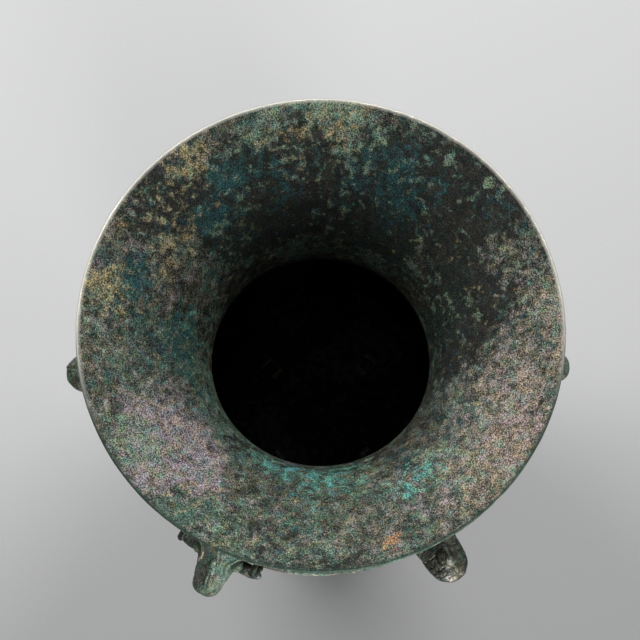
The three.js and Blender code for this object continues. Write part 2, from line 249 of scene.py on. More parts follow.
def settle(piece: Piece) -> None:
    """Turns what a piece's modifiers make into its own plain mesh and removes the modifiers.

    Args:
        piece: The piece.
    """
    seen = piece.evaluated_get(bpy.context.evaluated_depsgraph_get())
    made = bpy.data.meshes.new_from_object(seen)
    piece.modifiers.clear()
    piece.data = made
    made.name = piece.name


def carry(mesh: Mesh, label: str, values: Sequence[float]) -> None:
    """Gives each point of a mesh a number under a label."""
    numbers = mesh.attributes.new(label, "FLOAT", "POINT")
    numbers.data.foreach_set("value", np.asarray(values, np.float32))


def finished_mesh(name: str, shape: Shape, placing: Matrix = IN_PLACE) -> Mesh:
    """Turns a shape in millimetres into a mesh in metres, and frees the shape.

    Args:
        name: The mesh's name.
        shape: The shape.
        placing: Where it goes, in millimetres.

    Returns:
        The mesh.
    """
    mesh = bpy.data.meshes.new(name)
    shape.transform(Matrix.Scale(MM, 4) @ placing)
    shape.to_mesh(mesh)
    shape.free()
    return mesh


class Join(Enum):
    """How a second solid changes the first."""

    CUT = "DIFFERENCE"
    FUSE = "UNION"


def join(piece: Piece, tool: Mesh, way: Join) -> None:
    """Cuts a solid out of a piece, or fuses it to the piece.

    Args:
        piece: The piece that changes.
        tool: The other solid's mesh.
        way: Whether it cuts or fuses.
    """
    other = linked("tool", tool)
    modifier = piece.modifiers.new("join", "BOOLEAN")
    modifier.operation = way.value
    modifier.solver = "MANIFOLD"
    modifier.object = other
    settle(piece)
    bpy.data.objects.remove(other)


def crisp(piece: Piece, degrees: float) -> None:
    """Keeps edges sharper than an angle crisp in the shading."""
    piece.data.set_sharp_from_angle(angle=math.radians(degrees))


def numbered(stem: str, count: int, ending: str = "") -> list[str]:
    """Names of the copies of a repeated solid."""
    return [f"{stem}_{number + 1}{ending}" for number in range(count)]


def turned_copies(piece: Piece, nodes: Sequence[str], start: float = 0.0) -> list[Casting]:
    """Puts copies of a piece evenly round the axis in its place.

    Args:
        piece: The piece, which is removed.
        nodes: The solids that the copies stand for.
        start: The first copy's angle.

    Returns:
        The solids' names, each with its copy.
    """
    made = []
    for count, node in enumerate(nodes):
        mesh = piece.data.copy()
        mesh.transform(Matrix.Rotation(start + count * TURN / len(nodes), 4, "Z"))
        made.append((node, linked(f"cast_{node}", mesh)))
    bpy.data.objects.remove(piece)
    return made


# Finishes


class Mineral(Enum):
    """What lies on the bronze, with the colour of each, in the order that it is laid; bare metal and tin grey
    are also laid as painted highlights, and tenorite as painted shade.
    """

    MALACHITE = (0.086, 0.160, 0.118)
    BARE = (0.420, 0.345, 0.290)
    TIN = (0.370, 0.315, 0.340)
    TENORITE = (0.011, 0.013, 0.011)
    AZURITE = (0.024, 0.095, 0.100)
    VERDIGRIS = (0.230, 0.330, 0.245)
    EARTH = (0.400, 0.360, 0.210)
    TURQUOISE = (0.130, 0.420, 0.380)
    RUST = (0.460, 0.255, 0.125)


# Bare metal, tin grey and the painted highlights laid with them fade softly into the bronze round them.
RUBBED_AND_HIGHLIGHT = (Mineral.BARE, Mineral.TIN)  # what fades softly into the bronze round it
CRISP_EDGE = (-0.07, 0.13)
SOFT_EDGE = (-0.15, 0.2)


@dataclass(frozen=True)
class Patina:
    """Old bronze: clumps of minerals, some of them laid as painted highlights and shade, all broken up by one
    fine grain that is dark in its pits.
    """

    name: str
    amounts: Mapping[Mineral, float]
    blooms: Mapping[Mineral, Sequence[Bloom]] = field(default_factory=dict)
    flare: "Wall | None" = None
    dark: Colour = (0.055, 0.066, 0.054)
    worn: Colour = (0.192, 0.188, 0.160)
    carved: float = 0.0
    crust: float = 8.0
    mottle: float = 0.27
    grain: float = 1.25
    pits: float = 0.05
    peaks: float = 1.42
    # Painted shade inside the vessel: the share of the light that its inner surfaces keep.
    painted_inner_shade: float = 0.06
    # The lip's colours are painted light: a highlight on its far half, towards the lamps, and shade on its
    # near half, with the turn between them along y and the share that they cover.
    lip_highlight: Colour = (0.56, 0.54, 0.48)
    lip_painted_shade: Colour = (0.026, 0.050, 0.038)
    lip_shade_to_highlight: Point = (-0.1, 0.04)
    lip_light_cover: float = 0.9
    patch: float = 60.0
    sparse: float = 0.3
    dense: float = 1.6
    fleck: float = 8.0
    fullest: float = 0.88
    tinge: float = 10.0
    ochre: Colour = (1.10, 1.02, 0.84)
    mauve: Colour = (1.03, 0.96, 1.04)
    teal: Colour = (0.80, 1.04, 1.03)
    pitting: float = 0.8
    dullness: Point = (0.6, 0.4)
    metal: Point = (0.9, 0.4)

    def material(self) -> Material:
        """Builds the finish as a node material.

        Returns:
            The material.
        """
        made, graph, place = Graph.material(self.name)
        grain = graph.noise(place, self.grain, detail=3, rough=0.7)
        crust = graph.noise(place, self.crust, detail=6, shift=3.1, rough=0.62)
        height = graph.math("MULTIPLY", graph.math("SUBTRACT", graph.painted("relief"), 0.5), self.carved)
        hue = graph.mix(graph.span(graph.math("ADD", crust, height), 0.3, 0.74), self.dark, self.worn)
        cover: Socket | float = 0.0
        for order, mineral in enumerate(Mineral):
            share = self.share_of(graph, place, mineral, order)
            if share is not None:
                hue = graph.mix(share, hue, mineral.value)
                cover = graph.math("MAXIMUM", cover, share)
        warm = graph.span(graph.noise(place, self.tinge, detail=1.5, shift=71.0), 0.38, 0.62)
        cold = graph.span(graph.noise(place, self.tinge, detail=1.5, shift=83.0), 0.5, 0.68)
        tint = graph.mix(cold, graph.mix(warm, self.ochre, self.mauve), self.teal)
        hue = graph.vector("MULTIPLY", hue, tint).outputs[0]
        peaks = graph.math("MULTIPLY_ADD", graph.math("SUBTRACT", crust, 0.5), self.mottle, grain)
        light = graph.span(graph.math("MULTIPLY_ADD", height, 0.3, peaks), 0.38, 0.7, self.pits, self.peaks)
        # Surfaces inside the vessel are darkened as painted shade.
        unshaded = graph.span(graph.painted("inside"), 0.0, 1.0, 1.0, self.painted_inner_shade)
        skin = graph.node("ShaderNodeVectorMath", {
            0: hue, "Scale": graph.math("MULTIPLY", light, unshaded)}, operation="SCALE")
        # The lip is coloured with its painted highlight on the far half and its painted shade on the near
        # half.
        edge = graph.painted("edge")
        far = graph.span(graph.node("ShaderNodeSeparateXYZ", {0: place}).outputs[1], *self.lip_shade_to_highlight)
        lip = graph.mix(far, self.lip_painted_shade, self.lip_highlight)
        rough = graph.math("MULTIPLY_ADD", cover, 0.12, graph.span(peaks, 0.35, 0.65, *self.dullness))
        bump = graph.node("ShaderNodeBump", {"Strength": self.pitting, "Distance": MM, "Height": peaks})
        shader = graph.node("ShaderNodeBsdfPrincipled", {
            "Base Color": graph.mix(graph.math("MULTIPLY", edge, self.lip_light_cover), skin.outputs[0], lip),
            "Metallic": graph.span(cover, 0.0, 0.85, *self.metal),
            "Roughness": graph.math("MULTIPLY_ADD", graph.math("MULTIPLY", edge, far), -0.15, rough),
            "Specular IOR Level": 0.25,
            "Normal": bump,
        })
        graph.node("ShaderNodeOutputMaterial", {"Surface": shader})
        return made

    def share_of(self, graph: Graph, place: Socket, mineral: Mineral, order: int) -> Socket | None:
        """Works out where one mineral shows.

        Args:
            graph: The material's graph.
            place: The coordinates, in metres.
            mineral: The mineral.
            order: Its place in the order, which sets it apart from the others.

        Returns:
            How much of it covers each spot, or None where the finish has none of it.
        """
        blooms = self.blooms.get(mineral, ())
        amount = self.amounts.get(mineral, 0.0)
        if amount <= 0 and not blooms:
            return None
        patch = graph.noise(place, self.patch, detail=5, shift=11.0 + 5 * order, rough=0.6)
        density = graph.span(patch, 0.36, 0.66, self.sparse * amount, self.dense * amount)
        for angle, radius, size, strength in blooms:
            centre = self.flare.mouth_point(angle, radius)
            away = graph.vector("DISTANCE", place, centre).outputs["Value"]
            near = graph.span(away, 0.0, 1.5 * size * MM, 0.75 * strength, 0.0)
            density = graph.math("MULTIPLY_ADD", near, graph.span(patch, 0.32, 0.6, 0.3, 1.1), density)
        fleck = graph.noise(place, self.fleck, detail=3, shift=40.0 + 7 * order, rough=0.58)
        need = graph.math("MULTIPLY_ADD", density, -0.42, 0.725)
        low, high = SOFT_EDGE if mineral in RUBBED_AND_HIGHLIGHT else CRISP_EDGE
        return graph.span(graph.math("SUBTRACT", fleck, need), low, high, 0.0, self.fullest)


@dataclass(frozen=True)
class FiredClay:
    """The baked clay left inside the heads: gritty, red brown, with dark and pale bits."""

    name: str = "fired clay"
    red: Colour = (0.235, 0.105, 0.055)
    dark: Colour = (0.085, 0.048, 0.032)
    pale: Colour = (0.420, 0.310, 0.220)
    grit: float = 1.4
    cloud: float = 12.6

    def material(self) -> Material:
        """Builds the finish as a node material.

        Returns:
            The material.
        """
        made, graph, place = Graph.material(self.name)
        cloud = graph.noise(place, self.cloud, detail=4)
        grit = graph.noise(place, self.grit, detail=3, shift=2.0, rough=0.6)
        tone = graph.mix(graph.span(cloud, 0.35, 0.65), self.dark, self.red)
        tone = graph.mix(graph.span(grit, 0.6, 0.7), tone, self.pale)
        bump = graph.node("ShaderNodeBump", {"Strength": 0.6, "Distance": 0.5 * MM, "Height": grit})
        shader = graph.node("ShaderNodeBsdfPrincipled", {
            "Base Color": tone, "Roughness": 0.92, "Normal": bump})
        graph.node("ShaderNodeOutputMaterial", {"Surface": shader})
        return made


MOUTH_BLOOMS = {
    Mineral.MALACHITE: (
        (-89, 140, 50, 0.4), (11, 116, 60, 0.5), (60, 130, 60, 0.5), (120, 130, 60, 0.6),
        (-170, 120, 50, 0.6), (-140, 118, 50, 0.6), (-130, 205, 50, 0.5)),
    # Bare metal blooms on the right, near the lip, are a painted highlight, a warm sheen.
    Mineral.BARE: ((-4, 202, 60, 0.7), (-26, 198, 70, 0.6), (-44, 204, 60, 0.6)),
    # Tin grey blooms at the lower left and on the right are a painted highlight, a mauve sheen.
    Mineral.TIN: (
        (-148, 170, 54, 1.2), (-136, 172, 40, 0.8), (-142, 186, 50, 0.6), (-20, 190, 50, 0.3)),
    # Tenorite blooms are dark oxide; the ones at angles above zero, on the far half of the mouth, also darken
    # it as painted shade.
    Mineral.TENORITE: (
        (42, 165, 76, 2.0), (66, 160, 60, 1.2), (92, 155, 62, 1.8), (120, 160, 56, 1.6), (70, 125, 50, 1.0),
        (120, 122, 44, 0.8), (25, 130, 44, 1.0), (2, 120, 50, 1.7), (12, 160, 40, 0.7), (-135, 122, 36, 0.9),
        (140, 202, 46, 1.4), (170, 165, 34, 0.5), (-90, 213, 50, 0.7), (-110, 205, 40, 0.5)),
    Mineral.AZURITE: (
        (119, 179, 20, 1.0), (130, 158, 18, 0.9), (160, 184, 24, 1.0), (95, 160, 50, 0.45),
        (34, 196, 30, 0.45), (60, 165, 50, 0.38), (-19, 130, 26, 0.38), (178, 140, 44, 0.52)),
    Mineral.VERDIGRIS: (
        (98, 208, 40, 0.9), (80, 208, 40, 0.9), (52, 206, 8, 1.3), (40, 212, 6, 1.3), (-150, 206, 40, 0.5),
        (178, 205, 40, 0.4), (-120, 180, 50, 0.3), (-45, 150, 40, 0.4)),
    Mineral.EARTH: (
        (122, 206, 34, 0.5), (135, 190, 44, 0.3), (99, 208, 44, 0.5), (165, 213, 34, 0.7),
        (146, 166, 34, 0.4), (80, 213, 40, 0.4), (-4, 205, 40, 0.2), (-128, 196, 60, 0.3)),
    Mineral.TURQUOISE: (
        (-116, 120, 30, 0.68), (-92, 132, 40, 0.68), (-58, 160, 30, 0.9), (-150, 130, 34, 0.38),
        (104, 212, 24, 0.38), (172, 128, 34, 0.45)),
    Mineral.RUST: (
        (-74, 205, 11, 2.1), (150, 213, 13, 0.94), (118, 205, 15, 0.68), (-1, 192, 15, 0.85)),
}
MOUTH_MINERALS = {
    Mineral.MALACHITE: 0.4, Mineral.BARE: 0.1, Mineral.TIN: 0.16, Mineral.TENORITE: 0.24,
    Mineral.AZURITE: 0.28, Mineral.VERDIGRIS: 0.26, Mineral.EARTH: 0.17, Mineral.TURQUOISE: 0.1,
}
CARVED_MINERALS = {
    Mineral.MALACHITE: 0.5, Mineral.TIN: 0.1, Mineral.AZURITE: 0.12, Mineral.EARTH: 0.12,
}
# The tenorite share darkens the heads and birds as painted shade, standing in for the shadow below the
# mouth's lip; the other minerals are their patina.
ORNAMENT_MINERALS = {
    Mineral.MALACHITE: 0.5, Mineral.TIN: 0.08, Mineral.TENORITE: 0.4, Mineral.AZURITE: 0.12,
    Mineral.EARTH: 0.08,
}
SPACER_MINERALS = {Mineral.MALACHITE: 0.4, Mineral.EARTH: 0.2}


# Figures in relief


def smooth_line(points: Sequence[Sequence[float]], steps: int) -> Array:
    """A smooth line through points of any dimension.

    Args:
        points: The points that it passes through.
        steps: How many steps lie between two of them.

    Returns:
        The points of the line.
    """
    known = np.array(points, float)
    known = np.vstack([2 * known[0] - known[1], known, 2 * known[-1] - known[-2]])
    t = np.linspace(0, 1, steps, endpoint=False)[:, None]
    parts = []
    for before, start, end, after in zip(known, known[1:], known[2:], known[3:]):
        bend = 2 * before - 5 * start + 4 * end - after
        twist = 3 * start - before - 3 * end + after
        parts.append(start + 0.5 * ((end - before) * t + bend * t**2 + twist * t**3))
    return np.vstack([*parts, known[-2:-1]])


@dataclass(frozen=True)
class Band:
    """A raised band of an ornament, drawn as a smooth line that may end in a curl."""

    points: tuple[Point, ...]
    widths: tuple[float, float, float]
    curl: float = 0.0
    turns: float = 1.15
    tightening: float = 0.8
    steps: int = 8
    curl_steps: int = 21

    def line(self) -> tuple[Array, Array]:
        """Draws the band.

        Returns:
            The points of its middle line, and half its width at each.
        """
        line = smooth_line(self.points, self.steps)
        if self.curl:
            line = np.vstack([line, self.spiral(line[-1], line[-1] - line[-2])])
        run = np.linspace(0, 1, len(line))
        return line, np.interp(run, (0, 0.5, 1), self.widths)

    def spiral(self, start: Array, heading: Array) -> Array:
        """Winds a curl inwards: to the left, or to the right where the curl is below zero.

        Args:
            start: Where it starts.
            heading: The way that the band runs there.

        Returns:
            The points of the curl.
        """
        side = math.copysign(1, self.curl)
        way = heading / np.linalg.norm(heading)
        hub = start + self.curl * np.array([-way[1], way[0]])
        angle = math.atan2(*(start - hub)[::-1])
        run = np.linspace(0, 1, self.curl_steps + 1)[1:]
        radius = abs(self.curl) * (1 - self.tightening * run)
        turned = angle + side * self.turns * TURN * run
        return hub + radius[:, None] * np.stack([np.cos(turned), np.sin(turned)], axis=1)


@dataclass(frozen=True)
class Eye:
    """A raised almond eye with a round pupil."""

    centre: Point
    half_length: float
    half_height: float
    pupil: float
    roundness: float = 1.5


def eased(value: Array) -> Array:
    """Eases a value from 0 to 1 and holds it there."""
    share = np.clip(value, 0, 1)
    return share * share * (3 - 2 * share)


def off_line(spots: Array, line: Array, widths: Array) -> tuple[Array, Array]:
    """How far spots lie from a line.

    Args:
        spots: The spots.
        line: The points of the line.
        widths: Half the band's width at each of them.

    Returns:
        The distance from the middle line, and half the width where the line is nearest.
    """
    best = np.full(len(spots), np.inf)
    width = np.zeros(len(spots))
    for start, end, first, last in zip(line, line[1:], widths, widths[1:]):
        step = end - start
        share = np.clip((spots - start) @ step / (step @ step + 1e-12), 0, 1)
        away = np.linalg.norm(spots - start - share[:, None] * step, axis=1)
        half = first + (last - first) * share
        closer = away - half < best - width
        best = np.where(closer, away, best)
        width = np.where(closer, half, width)
    return best, width


@dataclass(frozen=True)
class Ornament:
    """Bands and eyes that make one figure, on a ground that may be carved."""

    bands: tuple[Band, ...]
    eyes: tuple[Eye, ...]
    boldness: float = 1.2
    edge: float = 1.5
    line: float = 0.85
    line_depth: float = 0.45
    narrowest_lined: float = 1.2
    ring_depth: float = 0.6
    pupil_rise: float = 0.75

    def relief(self, spots: Array) -> Array:
        """Raises the figure.

        Args:
            spots: The spots, across and up.

        Returns:
            How high it stands at each, from 0 on the ground to 1 on its bands.
        """
        rise = np.zeros(len(spots))
        for band in self.bands:
            line, widths = band.line()
            widths = widths * self.boldness
            reach = widths.max() + self.edge
            near = np.all((spots > line.min(0) - reach) & (spots < line.max(0) + reach), axis=1)
            away, half = off_line(spots[near], line, widths)
            top = eased((half - away) / self.edge + 0.5)
            broad = eased((half - self.narrowest_lined) / 1.5)
            cut = self.line_depth * broad * eased(1.6 - away / self.line)
            rise[near] = np.maximum(rise[near], top - cut)
        for eye in self.eyes:
            apart = spots - eye.centre
            almond = np.sum(np.abs(apart / (eye.half_length, eye.half_height)) ** eye.roundness, axis=1)
            top = eased((1 - almond) * eye.half_height / (2 * self.edge) + 0.3)
            away = np.linalg.norm(apart, axis=1)
            ball = np.sqrt(np.clip(1 - (away / eye.pupil) ** 2, 0, 1))
            ring = eased(1.5 - np.abs(away - eye.pupil - self.line) / self.line)
            rise = np.maximum(rise * (1 - top), top - self.ring_depth * top * ring + self.pupil_rise * ball)
        return rise


MASK_FEATHERS = tuple(
    Band(((106 + step, 136 + 4 * math.sin(count)), (104 + step, 160), (114 + step, 184)), (1.2, 3.6, 1.4))
    for count, step in enumerate(range(0, 75, 15)))
MASK = Ornament(
    bands=(
        Band(((10, 152), (10.5, 120), (12, 92), (17, 72)), (4.5, 4.5, 4), curl=9),
        Band(((9, 47), (30, 37), (58, 33), (84, 42)), (3, 5, 3.6), curl=10),
        Band(((58, 28), (64, 17), (60, 8)), (3.6, 3, 1)),
        Band(((26, 30), (28, 19), (25, 11)), (3, 2.5, 0.8)),
        Band(((35, 84), (25, 79), (22, 68)), (4.5, 3, 1)),
        Band(((72, 92), (82, 97), (90, 96)), (4, 2.6, 1)),
        Band(((19, 110), (40, 117), (66, 114), (86, 104)), (3, 5.2, 2)),
        Band(((22, 130), (24, 152), (40, 172), (68, 178), (90, 166), (94, 146), (80, 134)), (4.5, 7, 4),
             curl=-9),
        Band(((94, 84), (106, 96), (112, 112)), (2, 6.5, 1.4)),
        Band(((96, 68), (118, 76), (142, 74), (162, 84), (171, 104), (166, 124)), (5, 6.5, 4), curl=11),
        Band(((108, 64), (112, 50), (106, 36), (94, 28)), (5.5, 4.6, 3), curl=-6),
        Band(((112, 40), (122, 30), (124, 20)), (3, 2.8, 1)),
        Band(((118, 46), (130, 38), (136, 26)), (3, 2.8, 1)),
        Band(((146, 62), (164, 56), (172, 40), (160, 28), (146, 32)), (2.6, 4.6, 3), curl=-5),
        *MASK_FEATHERS,
        Band(((122, 104), (132, 112), (146, 108)), (1.2, 3.2, 1)),
        Band(((118, 92), (132, 96), (150, 94)), (1.2, 3, 1)),
    ),
    eyes=(Eye((53, 88), 25, 13, 8),),
)
DRAGON = Ornament(
    bands=(
        Band(((54, 34), (72, 50), (96, 50), (116, 34), (132, 36)), (5, 6.5, 3.6), curl=9),
        Band(((56, 30), (48, 22), (52, 12)), (4.5, 4, 2.6), curl=5),
        Band(((60, 46), (52, 58), (60, 68), (72, 66)), (3, 4.6, 2.4), curl=-5),
        Band(((90, 44), (86, 28), (94, 16)), (4, 3.4, 2.4), curl=4.5),
        Band(((84, 64), (98, 68), (114, 62)), (1.2, 3.6, 1)),
        Band(((110, 22), (122, 16), (136, 18)), (1.2, 3.2, 1)),
    ),
    eyes=(Eye((62, 37), 9, 6.5, 4),),
)
FOOT_DRAGON = Ornament(
    bands=(
        Band(((9, 60), (9, 42), (11, 26)), (2.8, 3, 2.6), curl=5.5),
        Band(((14, 13), (34, 9), (52, 14)), (2, 3.2, 2.4), curl=5.5),
        Band(((16, 52), (32, 57), (50, 50)), (1.8, 3.4, 1.4)),
        Band(((52, 36), (72, 28), (94, 32), (110, 44)), (3.2, 4.4, 2.8), curl=7),
        Band(((68, 26), (70, 16), (82, 10)), (3, 2.8, 2), curl=-4),
        Band(((60, 50), (74, 56), (90, 54)), (1, 3, 1)),
        Band(((92, 18), (104, 14), (116, 20)), (1, 2.8, 1)),
    ),
    eyes=(Eye((33, 36), 15, 8, 4.8),),
)


# Round solids


def lathe(name: str, outline: Sequence[Point], sides: int, placing: Matrix = IN_PLACE) -> Mesh:
    """A closed solid turned from an outline that starts and ends on its axis.

    Args:
        name: The mesh's name.
        outline: Radius and height of each point, upwards.
        sides: How many sides it has.
        placing: Where it goes, in millimetres.

    Returns:
        The mesh.
    """
    shape = bmesh.new()
    bottom = shape.verts.new((0, 0, outline[0][1]))
    top = shape.verts.new((0, 0, outline[-1][1]))
    turns = [count * TURN / sides for count in range(sides)]
    rings = [[shape.verts.new((radius * math.cos(turn), radius * math.sin(turn), height)) for turn in turns]
             for radius, height in outline[1:-1]]
    for side in range(sides):
        shape.faces.new((bottom, rings[0][side], rings[0][side - 1]))
        shape.faces.new((top, rings[-1][side - 1], rings[-1][side]))
        for ring, after in zip(rings, rings[1:]):
            shape.faces.new((ring[side - 1], ring[side], after[side], after[side - 1]))
    return finished_mesh(name, shape, placing)


def rod(radius: float, bottom: float, top: float, place: float, angle: float = 0.0, sides: int = 24) -> Mesh:
    """An upright round bar at a distance from the axis."""
    outline = [(0, bottom), (radius, bottom), (radius, top), (0, top)]
    return lathe("rod", outline, sides, Matrix.Rotation(angle, 4, "Z") @ Matrix.Translation((place, 0, 0)))


@dataclass(frozen=True)
class Rivet:
    """A cast rivet: a shank through the shoulder that spreads to a button under it.

    The button's profile gives shares of its radius and heights from the underside of the shoulder.
    """

    top: float = 320.0
    shank: float = 7.0
    button: float = 13.0
    place: float = 178.0
    under: float = 311.2
    lean: float = 10.7
    overlap: float = 3.0
    clearance: float = 0.3
    sides: int = 32
    profile: tuple[Point, ...] = ((0, -6), (0.5, -5.4), (0.85, -3.8), (1, -1.2), (0.97, -0.4), (0, -0.3))

    def mesh(self) -> Mesh:
        """Casts the rivet at angle zero.

        Returns:
            Its mesh.
        """
        outline = [(share * self.button, height) for share, height in self.profile]
        lean = Matrix.Rotation(math.radians(self.lean), 4, "Y")
        placing = Matrix.Translation((self.place, 0, self.under)) @ lean
        piece = linked("rivet", lathe("rivet", outline, self.sides, placing))
        join(piece, rod(self.shank, self.under - self.overlap, self.top, self.place), Join.FUSE)
        return loosened(piece)

    def hole(self, height: float, reach: float, angle: float) -> Mesh:
        """The bar that cuts its hole, which reaches as far above a height as below it."""
        return rod(self.shank + self.clearance, height - reach, height + reach, self.place, angle)


# The vessel's wall


def bezier(start: Point, first: Point, second: Point, end: Point, steps: int) -> Array:
    """Points of a cubic curve between two ends, each of them pulled towards a point."""
    t = np.linspace(0, 1, steps + 1)[:, None]
    return (1 - t) ** 3 * start + 3 * (1 - t) ** 2 * t * first + 3 * (1 - t) * t**2 * second + t**3 * end


def straight(start: Point, end: Point, steps: int) -> Array:
    """Points of a straight line, from its start to its end."""
    return np.linspace(start, end, steps + 1)


def shifted(point: Point, step: Point) -> Point:
    """A point moved by a step."""
    return point[0] + step[0], point[1] + step[1]


def right_hand(points: Array) -> Array:
    """The direction to the right of a line at each of its points."""
    along = np.gradient(points, axis=0)
    return np.stack([along[:, 1], -along[:, 0]], axis=1) / np.linalg.norm(along, axis=1)[:, None]


def moved(points: Array, distance: float) -> Array:
    """A line moved to its right by a distance."""
    return points + distance * right_hand(points)


@dataclass(frozen=True)
class Wall:
    """Sizes of the vessel's wall and the curves that it follows."""

    height: float
    mouth_radius: float
    neck_height: float = 357.6
    shoulder_height: float = 312.0
    shoulder_rise: float = 15.0
    foot_height: float = 122.4
    neck_radius: float = 110.0
    neck_root_radius: float = 121.0
    shoulder_radius: float = 200.0
    base_radius: float = 122.0
    foot_top_radius: float = 113.0
    foot_radius: float = 130.0
    foot_band: float = 9.0
    wall: float = 4.2
    foot_wall: float = 5.0
    floor: float = 5.5
    neck_pull: Point = (-7.0, 2.0)
    neck_climb: float = 9.0
    flare_climb: float = 62.0
    flare_pull: Point = (-49.0, -22.0)
    lip_round: float = 1.0
    belly_pull: Point = (30.0, 22.0)
    belly_hang: Point = (-8.0, -84.0)
    fold_drop: float = 0.8
    foot_draw: float = 9.0
    sole_round: float = 1.2
    crease_rise: float = 0.5
    rib_width: float = 5.0
    rib_rise: float = 2.4
    band_steps: int = 5
    crease_steps: int = 4
    flare_steps: int = 200

    def neck(self, steps: int) -> Array:
        """Outside of the neck, from its root up to its narrowest place."""
        root = (self.neck_root_radius, self.shoulder_height + self.shoulder_rise)
        return bezier(root, shifted(root, self.neck_pull), (self.neck_radius, root[1] + self.neck_climb),
                      (self.neck_radius, self.neck_height), steps)

    def flare(self, steps: int) -> Array:
        """Outside of the mouth, from the neck's narrowest place out to the lip."""
        waist, lip = ((self.neck_radius, self.neck_height),
                      (self.mouth_radius - self.lip_round, self.height - self.wall))
        return bezier(waist, shifted(waist, (0, self.flare_climb)), shifted(lip, self.flare_pull), lip, steps)

    def belly(self, steps: int) -> Array:
        """Outside of the belly, from its base up to the shoulder's edge."""
        base, edge = ((self.base_radius, self.foot_height),
                      (self.shoulder_radius, self.shoulder_height - self.fold_drop))
        return bezier(base, shifted(base, self.belly_pull), shifted(edge, self.belly_hang), edge, steps)

    def foot(self, steps: int) -> Array:
        """Draws the outside of the foot.

        Args:
            steps: How many steps its curve has.

        Returns:
            Its points, from just above the sole up to the belly's base.
        """
        low = (self.foot_radius, self.foot_band)
        high = (self.foot_top_radius, self.foot_height - self.floor)
        curve = bezier(low, (self.foot_radius - self.foot_draw, self.foot_height / 3),
                       (self.foot_top_radius, self.foot_height * 2 / 3), high, steps)
        band = straight((self.foot_radius, self.sole_round), low, self.band_steps)
        base = (self.base_radius, self.foot_height + self.crease_rise)
        crease = straight(high, base, self.crease_steps)
        return np.vstack([band[:-1], curve, crease[1:]])

    def ribbed(self, points: Array, heights: Iterable[float]) -> Array:
        """Raises bowstring ribs on a rising outline.

        Args:
            points: The outline.
            heights: The middle of each rib.

        Returns:
            The outline with a rounded rib at each height.
        """
        lift = np.zeros(len(points))
        for height in heights:
            share = np.clip(np.abs(points[:, 1] - height) / (self.rib_width / 2), 0, 1)
            lift = np.maximum(lift, self.rib_rise * np.sqrt(1 - share**2))
        return points + lift[:, None] * (1.0, 0.0)

    def mouth_point(self, angle: float, radius: float) -> Place:
        """Finds a point on the inside of the mouth.

        Args:
            angle: Its angle, in degrees.
            radius: How far it lies from the axis.

        Returns:
            The point, in metres.
        """
        inside = moved(self.flare(self.flare_steps), -self.wall)
        height = float(np.interp(radius, inside[:, 0], inside[:, 1]))
        turn = math.radians(angle)
        return radius * math.cos(turn) * MM, radius * math.sin(turn) * MM, height * MM


LUMP_SEED = 4.0
SEAM = 0.01


@cache
def turned_tree() -> Tree:
    """Makes the tree that bends a flat strip round the vessel's axis, raises its relief and closes its seam.

    Returns:
        The tree.
    """
    graph, start = Graph.geometry("turned wall", {
        "Relief": "Float", "Unevenness": "Float", "Lump Size": "Float", "Seed": "Float"})
    turn, radius, height = (graph.attribute(name) for name in ("turn", "radius", "height"))
    cosine, sine = graph.math("COSINE", turn), graph.math("SINE", turn)

    def bent(far: Socket, high: Socket) -> Socket:
        """A place at a distance from the axis and at a height."""
        parts = {0: graph.math("MULTIPLY", far, cosine), 1: graph.math("MULTIPLY", far, sine), 2: high}
        return graph.node("ShaderNodeCombineXYZ", parts).outputs[0]

    scale = graph.math("DIVIDE", 1.0, start["Lump Size"])
    noise = graph.node("ShaderNodeTexNoise", {
        "Vector": bent(radius, height), "W": start["Seed"], "Scale": scale, "Detail": 3.0,
    }, noise_dimensions="4D").outputs[0]
    lumps = graph.math("MULTIPLY", graph.math("SUBTRACT", noise, 0.5), start["Unevenness"])
    lift = graph.math("MULTIPLY_ADD", graph.attribute("relief"), start["Relief"], lumps)
    far = graph.math("MULTIPLY_ADD", graph.attribute("out"), lift, radius)
    high = graph.math("MULTIPLY_ADD", graph.attribute("up"), lift, height)
    shaped = graph.node("GeometryNodeSetPosition", {
        "Geometry": start["Geometry"], "Position": bent(far, high)})
    closed = graph.node("GeometryNodeMergeByDistance", {"Geometry": shaped, "Distance": SEAM * MM})
    return graph.close(closed, start["Finish"])


